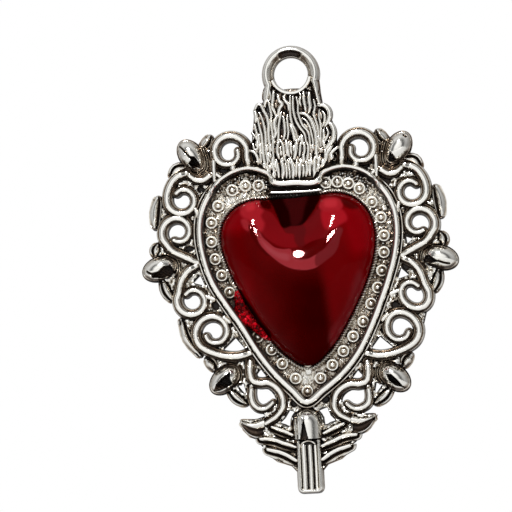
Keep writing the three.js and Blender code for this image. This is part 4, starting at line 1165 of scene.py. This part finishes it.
# Each bud: its mouth and crease, others where the right one differs, the ridges' line round its
# inner end, and its upper and lower leaf as start, end and bow
BUDS = [
    {"name": "upper_bud", "centre": (12.45, -9.2), "turn": 57,
     "mouth": [(12.65, -9.35), (11.95, -9.45), (11.5, -10.1), (11.2, -11.1), (12.3, -10.75),
               (12.75, -10.2), (12.35, -9.8)],
     "crease": [(13.9, -7.9), (13.4, -8.4), (12.9, -9.0), (12.5, -9.5)],
     "right": {"mouth": [(11.5, -9.7), (11.9, -10.2), (12.2, -10.7), (11.6, -11.0),
                         (11.1, -10.9), (11.25, -10.4)],
               "crease": [(13.2, -7.75), (13.35, -7.9), (13.5, -8.0)]},
     "echo": [(11.0, -7.9), (10.62, -9.0), (10.42, -10.2), (10.6, -11.1), (11.3, -11.6),
              (12.3, -11.45)],
     "leaves": [((11.2, -8.4), (10.15, -7.1), 0.1), ((13.3, -10.5), (14.95, -11.6), 0.35)]},
    {"name": "middle_bud", "centre": (16.9, -22.6), "turn": -18,
     "mouth": [(15.5, -22.25), (16.3, -22.4), (17.0, -23.0), (17.8, -23.2), (17.85, -23.7),
               (16.9, -23.75), (16.0, -23.9), (14.9, -23.6)],
     "crease": [(18.4, -22.9), (17.9, -23.2), (17.3, -23.2)],
     "right": {"mouth": [(15.05, -22.4), (15.5, -22.3), (16.0, -22.7), (16.6, -23.15),
                         (15.8, -23.25), (15.3, -23.15), (14.9, -22.9)],
               "crease": [(16.6, -23.1), (17.3, -23.35), (17.9, -23.45)]},
     "echo": [(15.9, -20.8), (14.85, -21.3), (14.4, -22.2), (14.45, -23.2), (14.9, -24.0)],
     "leaves": [((17.1, -19.8), (17.35, -21.0), 0.1), ((16.6, -24.2), (15.6, -26.4), 0.15)]},
    {"name": "lower_bud", "centre": (9.7, -36.3), "turn": -42,
     "mouth": [(8.95, -35.5), (9.9, -36.1), (10.7, -36.9), (10.95, -37.75), (10.2, -37.6),
               (9.4, -37.25), (8.75, -36.9), (9.0, -36.3)],
     "crease": [(11.2, -37.9), (10.9, -37.5), (10.6, -36.9)],
     "right": {"mouth": [(8.8, -35.95), (9.35, -36.0), (10.05, -36.7), (10.75, -37.6),
                         (9.8, -37.35), (9.1, -36.8)],
               "crease": [(10.7, -37.55), (10.85, -37.7), (11.0, -37.85)]},
     "echo": [(9.3, -34.2), (8.1, -34.6), (7.55, -35.4), (7.6, -36.3), (8.0, -36.95)],
     "leaves": [((10.9, -35.0), (11.75, -33.8), 0.1), ((9.15, -37.7), (7.4, -39.3), 0.15)]},
]
SIDE_LEAF = ((16.75, -14.2), (17.2, -17.5), 0.1)
BLADE_LEAF = ((14.55, -28.9), (12.55, -33.2), 0.45)
LEAF_SECTION = [
    (-0.78, FOOT), (-0.76, 0.8), (-0.7, 1.28), (-0.61, 1.48), (-0.51, 1.44), (-0.43, 1.18),
    (-0.35, 1.02), (-0.26, 1.12), (-0.18, 1.5), (-0.08, 1.84), (0.05, 1.95), (0.2, 1.92),
    (0.34, 1.76), (0.48, 1.52), (0.6, 1.25), (0.7, 0.9), (0.76, 0.5), (0.79, FOOT),
]
OUTER, INNER = 1, -1


def leaf_shape(side, leaf, width, groove=OUTER):
    """A leaf with a groove on the outer or the inner side of its crest."""
    start, end, bow = leaf
    a, b = flank(side, [start])[0], flank(side, [end])[0]
    along = b - a
    normal = arr([-along[1], along[0]]) / np.linalg.norm(along)
    line = through([a, (a + b) / 2 + normal * bow * side, b], 0.1)
    return ribbon(
        line, scaled(LEAF_SECTION, -side * groove * (width / 1.1)),
        width=lambda share: 0.4 + 0.6 * swell(share, 0.08, 0.8),
        lift=lambda share: 0.8 + 0.2 * swell(share, power=0.6),
    )


def distance_in(places, corners):
    """How far places are inside a polygon; negative outside it."""
    corners = arr(corners)
    inside = np.zeros(len(places), bool)
    near = np.full(len(places), 1e9)
    for a, b in zip(corners, np.roll(corners, -1, 0)):
        way = b - a
        t = np.clip((places - a) @ way / (way @ way), 0, 1)
        near = np.minimum(near, np.linalg.norm(places - a - t[:, None] * way, axis=1))
        crosses = (a[1] > places[:, 1]) != (b[1] > places[:, 1])
        at = a[0] + (places[:, 1] - a[1]) * (b[0] - a[0]) / (b[1] - a[1] if b[1] != a[1] else 1)
        inside ^= crosses & (places[:, 0] < at)
    return np.where(inside, near, -near)


def distance_to(places, line):
    return np.min([np.linalg.norm(places - point, axis=1) for point in line], axis=0)


def bud_shape(side, bud):
    """A plump bud, open underneath in a dark mouth, with a crease from it to the tip."""
    drawn = {**bud, **(bud["right"] if side == RIGHT else {})}
    middle = flank(side, [bud["centre"]])[0]
    angle = math.radians(180 - bud["turn"] if side == LEFT else bud["turn"])
    way = np.linspace(0, 2 * math.pi, 150, endpoint=False)
    foot = np.stack([np.cos(way), np.sin(way)], axis=1) * BUD_SIZE * (1.13, 1.19)
    outer = turned(foot, angle, arr([0, 0])) + middle
    mouth = flank(side, drawn["mouth"])
    crease = through(flank(side, drawn["crease"]), 0.06)

    def height(place, share):
        radius = np.linalg.norm(turned(place - middle, -angle, arr([0, 0])) / BUD_SIZE, axis=1)
        body = PLATE_TOP + 2.2 * np.clip(1 - radius ** 2.2, 0, 1) ** 0.46
        body = np.maximum(body, 1.42 * (1 - smoothstep(radius, 1.02, 1.19)))
        body -= 0.5 * np.exp(-(distance_to(place, crease) / 0.1) ** 2) * (body > 1.6)
        cut = smoothstep(distance_in(place, mouth), -0.05, 0.14)
        lower = smoothstep(mouth[:, 1].mean() - place[:, 1], -0.1, 0.7)
        floor = 1.05 + 0.55 * lower + 0.07 * np.sin(place @ (9, 17))
        return body - cut * (body - np.minimum(floor, body))

    return dome(outer, middle, height, rings=44)


def echoes(side, points):
    """Three fine ridges side by side, round the inner end of a bud."""
    base = through(flank(side, points), 0.12)
    section = both([(0, 1.5), (0.05, 1.46), (0.09, 1.3), (0.11, FOOT)])
    return [ribbon(shifted(base, side * ECHO_PITCH * row), section,
                   lift=lambda share: 1 - 0.1 * share) for row in (-0.5, 0.5, 1.5)]


def make_buds(side):
    """The buds and leaves of one flank; only the left one has a blade leaf."""
    name = SIDE_NAME[side]
    for bud in BUDS:
        shape = joined(bud_shape(side, bud), *echoes(side, bud["echo"]))
        form(f"{bud['name']}_{name}", shape, sharp=60)
        for which, leaf in zip(("upper", "lower"), bud["leaves"]):
            form(f"{bud['name']}_{which}_leaf_{name}", leaf_shape(side, leaf, 1.1))
    form(f"side_leaf_{name}", leaf_shape(side, SIDE_LEAF, 1.2, INNER))
    if side == LEFT:
        form("blade_leaf_left", leaf_shape(side, BLADE_LEAF, 0.95, INNER))


# Wings and tassel

FEATHERS = [
    ("upper_feather", [(4.3, -42.3), (3.2, -42.75), (1.9, -43.35)], 0.95),
    ("middle_feather", [(5.7, -43.65), (4.1, -43.85), (3.0, -44.3), (1.6, -44.85)], 1.05),
    ("lower_feather", [(4.9, -44.95), (3.4, -45.4), (2.4, -45.9), (1.5, -46.5)], 1.1),
]
FEATHER_SECTION = [
    (0.44, FOOT), (0.42, 0.9), (0.38, 1.5), (0.31, 1.9), (0.18, 2.12), (0.0, 2.15),
    (-0.15, 2.05), (-0.24, 1.75), (-0.3, 1.35), (-0.4, 1.2), (-0.5, 1.3), (-0.58, 1.5),
    (-0.7, 1.56), (-0.82, 1.45), (-0.9, 1.1), (-0.93, 0.6), (-0.94, FOOT),
]


def make_wing(side):
    """The feathers of one flank, narrower at both ends."""
    for name, points, width in FEATHERS:
        line = through(flank(side, points), 0.12)
        section = arr(FEATHER_SECTION) * (side * -1, 1)
        shape = ribbon(line, section * (width, 1),
                       width=lambda share: 0.55 + 0.45 * swell(share, 0.15))
        form(f"{name}_{SIDE_NAME[side]}", shape)


def make_tail(side):
    """The pointed end of a foot scroll, as curves from its upper edge to its lower one."""
    curves = [
        [(5.2, -41.0, FOOT), (6.3, -41.45, FOOT), (7.4, -41.45, FOOT), (8.22, -41.2, FOOT)],
        [(5.2, -41.2, 1.7), (6.3, -41.6, 1.7), (7.4, -41.55, 1.6), (8.15, -41.3, 1.3)],
        [(5.2, -41.7, 2.2), (6.3, -41.95, 2.2), (7.3, -41.8, 2.05), (8.05, -41.45, 1.6)],
        [(5.2, -42.2, 1.9), (6.2, -42.35, 1.9), (7.1, -42.1, 1.85), (7.9, -41.7, 1.5)],
        [(5.2, -42.5, 1.2), (6.1, -42.65, 1.15), (6.9, -42.4, 1.2), (7.75, -41.9, 1.3)],
        [(5.3, -42.95, 1.2), (6.1, -43.1, 1.15), (7.0, -42.8, 1.2), (7.8, -42.0, 1.25)],
        [(5.3, -43.25, 1.6), (6.1, -43.45, 1.6), (7.15, -43.0, 1.55), (7.95, -42.05, 1.3)],
        [(5.3, -43.6, FOOT), (6.0, -43.75, FOOT), (7.3, -43.2, FOOT), (8.1, -42.1, FOOT)],
    ]
    shape = loft([flank(side, curve) for curve in curves])
    polished(f"tail_{SIDE_NAME[side]}", shape)


def make_cap():
    """The tassel's half round cap, grooved on its left and slit in its middle."""
    middle = (-0.05, -42.05)
    half = 1.85
    top = arc(middle, half + 0.06, 0, 180, 40)
    outline = np.vstack([top, [(-1.95, -43.3), (-1.95, -43.85), (-1.0, -43.9), (0, -43.9),
                               (0.9, -43.9), (1.85, -43.85), (1.85, -43.3)]])
    outline = evenly_round(outline, 150)

    def height(place, share):
        x = (place[:, 0] - middle[0]) / half
        z = np.clip((place[:, 1] - middle[1]) / half, 0, 1)
        body = PLATE_TOP + 2.4 * np.clip(1 - x ** 2 - z ** 2, 0, 1) ** 0.5
        body = np.maximum(body, 0.3 + 1.25 * (1 - smoothstep(share, -0.2, 0.03)))
        grooves = 0.13 * smoothstep(-x, 0.25, 0.6) * (0.5 + 0.5 * np.cos(place[:, 0] * 14))
        slit = smoothstep(0.42 * (-41.6 - place[:, 1]) / 2.2 - np.abs(place[:, 0] + 0.45),
                          -0.08, 0.1)
        return body - grooves - slit * (body - 1.6) * 0.85

    form("tassel_cap", dome(outline, (middle[0], -42.4), height, rings=44), sharp=60)


def rounded_box(half, foot, head, corner):
    """An outline of a half width, with square upper corners and round lower ones."""
    points = np.vstack([
        [(-half, head), (-half, foot + corner)],
        arc((-half + corner, foot + corner), corner, 180, 270, 6)[1:],
        arc((half - corner, foot + corner), corner, 270, 360, 6),
        [(half, head)],
    ])
    return evenly_round(points, 90)


def make_skirt():
    """The tassel's skirt: a rounded body, three long ridges and a bow at its head."""
    half, foot, head = 1.33, -50.2, -44.1
    layers = []
    for grow, high in ((0.3, FOOT), (0.27, 0.7), (0.2, 1.3), (0.1, 2.0), (0.0, 2.4), (-0.12, 2.5),
                       (-0.26, 2.4), (-0.34, 2.1), (-0.4, 1.7)):
        ring = rounded_box(half + grow, foot - grow, head, 0.45 + max(grow, -0.2))
        layers.append(raised(ring, high))
    shapes = [capped(np.array(layers))]
    ridge = both([(0, 2.45), (0.12, 2.43), (0.2, 2.34), (0.26, 2.15), (0.3, 1.9), (0.31, FOOT)])
    for across, width in ((-0.63, 1.16), (0.14, 1.05), (0.78, 0.75)):
        line = through([(across, -44.75), (across + 0.02, -47), (across, -50.0)], 0.2)
        shapes.append(ribbon(line, ridge * (width, 1)))
    bow = through(arc((-0.05, -45.15), 1.0, 15, 165, 12), 0.12)
    shapes.append(ribbon(bow, ridge * (0.6, 0.9)))
    piece("tassel_skirt_form", joined(*shapes), ANTIQUED, "antiqued_silver", "tassel_skirt")


make_rim()
make_border()
make_bezel()
make_bar()
stone = make_stone()
make_bed()
make_pool()
make_ring()
make_drop()
make_flame()
make_cap()
make_skirt()
for flank_side in SIDES:
    make_scrolls(flank_side)
    make_buds(flank_side)
    make_wing(flank_side)
    make_tail(flank_side)

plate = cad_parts["back_plate"]
plate.data.materials.clear()
plate.data.materials.append(PLATED)


# How open each point is to the front, for the patina and the painted shade

CELL = 0.06
FIELD_LOW = arr([-20.5, -52.0])
FIELD_SIZE = (690, 960)


def cell_of(places):
    cell = ((places[:, :2] - FIELD_LOW) / CELL).astype(int)
    return tuple(np.clip(cell, 0, np.array(FIELD_SIZE) - 1).T)


def height_field(things):
    """The greatest height over each cell, or -1 where there is nothing."""
    field = np.full(FIELD_SIZE, -1.0)
    for thing in things:
        points = flat(thing)
        thing.data.calc_loop_triangles()
        tri = np.empty(len(thing.data.loop_triangles) * 3, np.int32)
        thing.data.loop_triangles.foreach_get("vertices", tri)
        corners = points[tri.reshape(-1, 3)]
        reach = np.abs(np.diff(corners[:, [0, 1, 2, 0], :2], axis=1)).max(axis=(1, 2))
        # The wider its triangles, the more points each one is filled with
        for fine, low, high in ((3, 0, 0.15), (8, 0.15, 0.5), (30, 0.5, 2), (120, 2, 60)):
            some = corners[(reach >= low) & (reach < high)]
            if not len(some):
                continue
            for i in range(fine + 1):
                for j in range(fine + 1 - i):
                    a, b = i / fine, j / fine
                    p = some[:, 0] * (1 - a - b) + some[:, 1] * a + some[:, 2] * b
                    np.maximum.at(field, cell_of(p), p[:, 2])
    return field


def filled(field, level):
    """The field with the openings that the background doesn't reach taken as a level."""
    empty = field < 0
    reached = np.zeros_like(empty)
    reached[0, :] = reached[-1, :] = reached[:, 0] = reached[:, -1] = True
    while True:
        grown = reached.copy()
        for _ in range(12):
            step = grown.copy()
            step[1:] |= grown[:-1]
            step[:-1] |= grown[1:]
            step[:, 1:] |= grown[:, :-1]
            step[:, :-1] |= grown[:, 1:]
            grown = step & empty
        if (grown == reached).all():
            break
        reached = grown
    return np.where(empty & ~reached, level, field)


WAYS = 16
REACHES = (0.12, 0.2, 0.3, 0.42, 0.56, 0.74, 0.96, 1.25, 1.6, 2.1)
SLACK = 0.03


def openness(points, field):
    """Share of the sky over the front that a point sees, from the height field."""
    sky = np.zeros(len(points))
    for k in range(WAYS):
        way = heading(2 * math.pi * (k + 0.5) / WAYS)
        horizon = np.zeros(len(points))
        for reach in REACHES:
            rise = field[cell_of(points[:, :2] + way * reach)] - points[:, 2] - SLACK
            horizon = np.maximum(horizon, rise / reach)
        sky += 1 / (1 + horizon ** 2)
    return sky / WAYS


def way_to(mask, reach):
    """Distance in mm of each cell to the nearest one of a mask, as far as a reach."""
    away = np.where(mask, 0.0, 9.0)
    for _ in range(int(reach / CELL)):
        for axis in (0, 1):
            for step in (1, -1):
                away = np.minimum(away, np.roll(away, step, axis) + CELL)
        for across in (1, -1):
            for up in (1, -1):
                away = np.minimum(away, np.roll(away, (across, up), (0, 1)) + 1.414 * CELL)
    return away


# Deep places of the ground, left bare and dark: middle and half sizes, left and right
POCKETS = [
    (-8.6, -11.15, 0.75, 0.45), (-6.45, -10.5, 0.45, 0.4), (-11.5, -13.35, 0.5, 0.4),
    (-4.85, -9.8, 0.4, 0.5), (-13.2, -20.4, 0.7, 0.4), (-12.9, -22.8, 0.25, 0.8),
    (-10.4, -27.4, 0.5, 0.6), (-1.5, -39.6, 0.5, 0.5), (-5.6, -34.5, 0.35, 0.4),
    (8.3, -11.4, 0.8, 0.5), (6.35, -10.9, 0.45, 0.35), (4.6, -10.1, 0.4, 0.4),
    (10.95, -13.5, 0.55, 0.5), (13.0, -20.2, 0.5, 0.5), (12.7, -23.6, 0.6, 0.9),
    (11.2, -28.4, 0.6, 0.55), (2.2, -39.2, 0.6, 0.6), (9.6, -31.3, 0.4, 0.5),
]

# Metal that runs from a wire to the rim: side, start, end and width
BRIDGES = [
    (LEFT, (7.5, -10.5), (7.45, -11.5), 1.1), (LEFT, (9.75, -11.4), (8.9, -12.1), 0.8),
    (RIGHT, (7.35, -10.6), (7.3, -11.6), 1.1), (RIGHT, (9.8, -11.6), (9.0, -12.3), 0.8),
    (LEFT, (12.2, -15.7), (11.9, -16.6), 0.9), (RIGHT, (12.2, -15.9), (11.9, -16.8), 0.9),
    (LEFT, (11.6, -26.2), (10.5, -26.6), 0.8), (RIGHT, (11.6, -26.2), (10.4, -26.6), 0.8),
    (LEFT, (9.4, -28.9), (8.8, -29.4), 0.9), (RIGHT, (9.4, -28.9), (8.8, -29.4), 0.9),
]

GROUND_FOOT = 0.8
GROUND_LOW = 0.86
GROUND_TOP = 1.95
RIDGE_PITCH = 0.36
BRIDGE_SECTION = both([(0, 2.05), (0.15, 2.02), (0.28, 1.9), (0.38, 1.6), (0.42, GROUND_FOOT)])


def ground_height(place, distance):
    """Low ridges that follow the metal at a distance, and grain, with the pockets sunk."""
    grain = arr([fractal(Vector((*point, 0.0)) * 2.4, 1.0, 2.0, 3) for point in place])
    ridge = 0.5 + 0.5 * np.cos(2 * math.pi * (distance - 0.12 + 0.05 * grain) / RIDGE_PITCH)
    high = 1.4 + 0.28 * ridge + 0.36 * grain + 0.25 * (1 - smoothstep(distance, 0.15, 0.6))
    for across, up, half_across, half_up in POCKETS:
        deep = np.linalg.norm((place - (across, up)) / (half_across, half_up), axis=1)
        high -= (high - GROUND_LOW) * (1 - smoothstep(deep, 0.6, 0.95))
    return np.clip(high, GROUND_LOW, GROUND_TOP)


def ground_skin():
    """The ground over the plate's free places, on every second cell, closed underneath."""
    metal = height_field(OBJECTS) >= 0.3
    # The plate and a hem of 0.13 mm round it
    base = way_to(height_field([plate]) >= 0.85, 0.13) < 0.13
    # Ground lies there, off the openings, and reaches 0.2 mm under the metal
    clear = way_to(~(base | metal), 0.4) > 0.25
    away = way_to(metal, 1.5)
    clear &= (away < 3) & ((away > 0) | (way_to(~metal, 0.3) < 0.2)) & base
    some = clear[::2, ::2]
    cells = some[:-1, :-1] & some[1:, :-1] & some[1:, 1:] & some[:-1, 1:]
    used = np.zeros_like(some)
    for across in (0, 1):
        for up in (0, 1):
            used[across:some.shape[0] - 1 + across, up:some.shape[1] - 1 + up] |= cells
    count = used.sum()
    index = -np.ones(some.shape, int)
    index[used] = np.arange(count)
    place = FIELD_LOW + (np.argwhere(used) * 2 + 0.5) * CELL
    high = ground_height(place, away[::2, ::2][used])
    corners = [index[:-1, :-1], index[1:, :-1], index[1:, 1:], index[:-1, 1:]]
    quads = np.stack([corner[cells] for corner in corners], axis=1)
    edges = np.concatenate([quads[:, [k, (k + 1) % 4]] for k in range(4)]).tolist()
    known = {tuple(edge) for edge in edges}
    faces = quads.tolist() + (quads[:, ::-1] + count).tolist()
    faces += [[b, a, a + count, b + count] for a, b in edges if (b, a) not in known]
    return np.vstack([raised(place, high), raised(place, GROUND_FOOT)]), faces


def make_ground():
    """Cast relief between the wires, and the bridges over it."""
    shapes = [ground_skin()]
    for side, start, end, width in BRIDGES:
        line = through(flank(side, [start, end]), 0.1)
        shapes.append(ribbon(line, BRIDGE_SECTION * (width, 1)))
    piece("ground_relief", joined(*shapes), RELIEF, "antiqued_silver", sharp=60)


make_ground()


def patina_and_painted_shade(thing, field):
    """Openness of a piece's vertices, less in floors of grooves; walls that look down, the rim's
    inner wall and the strip at the cleft are made darker as painted shade.
    """
    points = flat(thing)
    normal = np.empty(len(points) * 3, np.float32)
    thing.data.vertices.foreach_get("normal", normal)
    normal = normal.reshape(-1, 3)[:, [0, 2, 1]] * (1, 1, -1)
    high = points[:, 2]
    free = np.where(high < 0.05, 0.93, openness(points, field))
    # Painted shade on walls that look down, away from the light above
    down = smoothstep(-normal[:, 1], 0.25, 0.85) * (1 - smoothstep(free, 0.74, 0.9))
    free *= 1 - 0.5 * down * (1 - smoothstep(high, 2.0, 2.5)) * (high > 0.05)
    if thing.data.materials[0] == POLISHED:
        groove = smoothstep(normal[:, 2], 0.6, 0.85) * (1 - smoothstep(high, 1.15, 1.35))
        free *= 1 - 0.4 * groove
    if thing.name == "heart_rim_wire":
        # Painted shade on the rim's inner wall, which faces the stone
        inwards = STONE_MIDDLE - points[:, :2]
        inwards /= np.linalg.norm(inwards, axis=1)[:, None]
        free *= 1 - 0.75 * smoothstep((normal[:, :2] * inwards).sum(axis=1), 0.5, 0.85)
    if thing.name in ("bezel_milled", "border_strip"):
        # Painted shade on the strip and the bezel under the cleft bar
        cleft = 1 - smoothstep(np.abs(points[:, 0] + 0.3), 2.7, 3.4)
        free *= 1 - 0.92 * cleft * smoothstep(points[:, 1], -15.9, -15.2)
    return free


whole_charm = OBJECTS + [plate]
relief = filled(height_field(whole_charm), STRIP_TOP)
for thing in whole_charm:
    carry(thing, "openness", patina_and_painted_shade(thing, relief))


# Studio

# How bright the studio looks to glossy surfaces, from behind the charm round to its front
STUDIO_TONES = [
    (0.0, 0.62), (0.1, 0.42), (0.3, 0.42), (0.42, 0.5), (0.55, 0.42), (0.66, 0.24), (0.75, 0.08),
    (0.82, 0.16), (0.88, 0.54), (0.93, 0.88), (1.0, 0.98),
]


def mixed(owner, share, first, second):
    made = node(owner, "ShaderNodeMixShader")
    for target, source in zip(made.inputs, (share, first.outputs[0], second.outputs[0])):
        link(owner, source, target)
    return made


def make_world():
    """White to the camera, even light on dull surfaces, and a toned studio in glossy ones."""
    world = bpy.data.worlds.new("studio")
    bpy.context.scene.world = world
    world.use_nodes = True
    world.node_tree.nodes.clear()
    soft = node(world, "ShaderNodeBackground", Color=(1, 1, 1, 1), Strength=0.55)
    plain = node(world, "ShaderNodeBackground", Color=(1, 1, 1, 1), Strength=1.0)
    cards = node(world, "ShaderNodeBackground")
    way = node(world, "ShaderNodeSeparateXYZ")
    link(world, node(world, "ShaderNodeTexCoord").outputs["Generated"], way.inputs[0])
    front = maths(world, "MULTIPLY_ADD", way.outputs["Y"], -0.5, 0.5)
    tones = ramp(world, front, [(place, grey(tone)) for place, tone in STUDIO_TONES])
    link(world, tones, cards.inputs["Color"])
    above = maths(world, "MULTIPLY_ADD", way.outputs["Z"], 0.45, 1.0)
    beside = maths(world, "MULTIPLY_ADD", way.outputs["X"], -0.2, above)
    link(world, beside, cards.inputs["Strength"])
    rays = node(world, "ShaderNodeLightPath").outputs
    shiny = maths(world, "MAXIMUM", rays["Is Glossy Ray"], rays["Is Transmission Ray"])
    lit = mixed(world, shiny, soft, cards)
    shown = mixed(world, rays["Is Camera Ray"], lit, plain)
    output = node(world, "ShaderNodeOutputWorld")
    link(world, shown.outputs[0], output.inputs[0])


LAMPS_AIM = Vector((0, 0, -0.022))


def area_lamp(name, place, size, power):
    lamp = bpy.data.lights.new(name, "AREA")
    lamp.shape = "ELLIPSE"
    lamp.size, lamp.size_y = size
    lamp.energy = power
    thing = new_object(name, lamp)
    thing.location = place
    way = LAMPS_AIM - Vector(place)
    thing.rotation_euler = way.to_track_quat("-Z", "Y").to_euler()
    return thing


def make_lamps():
    """Two soft lamps, and two that only glossy surfaces see: one for the stone, one for metal."""
    for name, place, width, power in (("key", (-0.18, -0.38, 0.22), 0.14, 1.3),
                                      ("fill", (0.3, -0.3, 0.05), 0.2, 0.6)):
        area_lamp(name, place, (width, width), power).visible_glossy = False
    metal = [thing for thing in whole_charm if thing != stone]
    for name, place, size, power, lit in (
            ("glint_stone", STONE_LAMP, (0.085, 0.125), 40, [stone]),
            ("glint_metal", (-0.03, -0.22, 0.27), (0.055, 0.055), 1.5, metal)):
        lamp = area_lamp(name, place, size, power)
        lamp.visible_diffuse = False
        group = bpy.data.collections.new("lit_by_" + name)
        for thing in lit:
            group.objects.link(thing)
        lamp.light_linking.receiver_collection = group


def make_floor():
    """A pale floor under the hanging charm."""
    size, down = 0.25, -0.075
    mesh = bpy.data.meshes.new("floor")
    mesh.from_pydata([(-size, -size, down), (size, -size, down), (size, size, down),
                      (-size, size, down)], [], [(0, 1, 2, 3)])
    white = new_material("floor_white", Base_Color=(*grey(0.86), 1), Roughness=0.9)[0]
    mesh.materials.append(white)
    floor = new_object("floor", mesh)


def make_camera():
    """A long lens at the photograph's angle, rolled as the charm hangs there."""
    camera = bpy.data.cameras.new("camera")
    thing = new_object("camera", camera)
    bpy.context.scene.camera = thing
    camera.sensor_width = 36
    camera.lens = 36 * CAMERA_DISTANCE / VIEW_WIDTH
    camera.clip_start = 0.01
    camera.clip_end = 10
    aim = Vector((VIEW_MIDDLE[0], -1, VIEW_MIDDLE[1])) * MM
    back = Vector((math.sin(VIEW_AZIMUTH) * math.cos(VIEW_ELEVATION),
                   -math.cos(VIEW_AZIMUTH) * math.cos(VIEW_ELEVATION),
                   math.sin(VIEW_ELEVATION)))
    right = Vector((0, 0, 1)).cross(back).normalized()
    up = back.cross(right)
    rolled_up = up * math.cos(VIEW_ROLL) + right * math.sin(VIEW_ROLL)
    rolled_right = right * math.cos(VIEW_ROLL) - up * math.sin(VIEW_ROLL)
    turn = Matrix((rolled_right, rolled_up, back)).transposed().to_4x4()
    thing.matrix_world = Matrix.Translation(aim + back * CAMERA_DISTANCE * MM) @ turn


make_world()
make_floor()
make_lamps()
make_camera()

bpy.context.scene.view_settings.view_transform = "Standard"
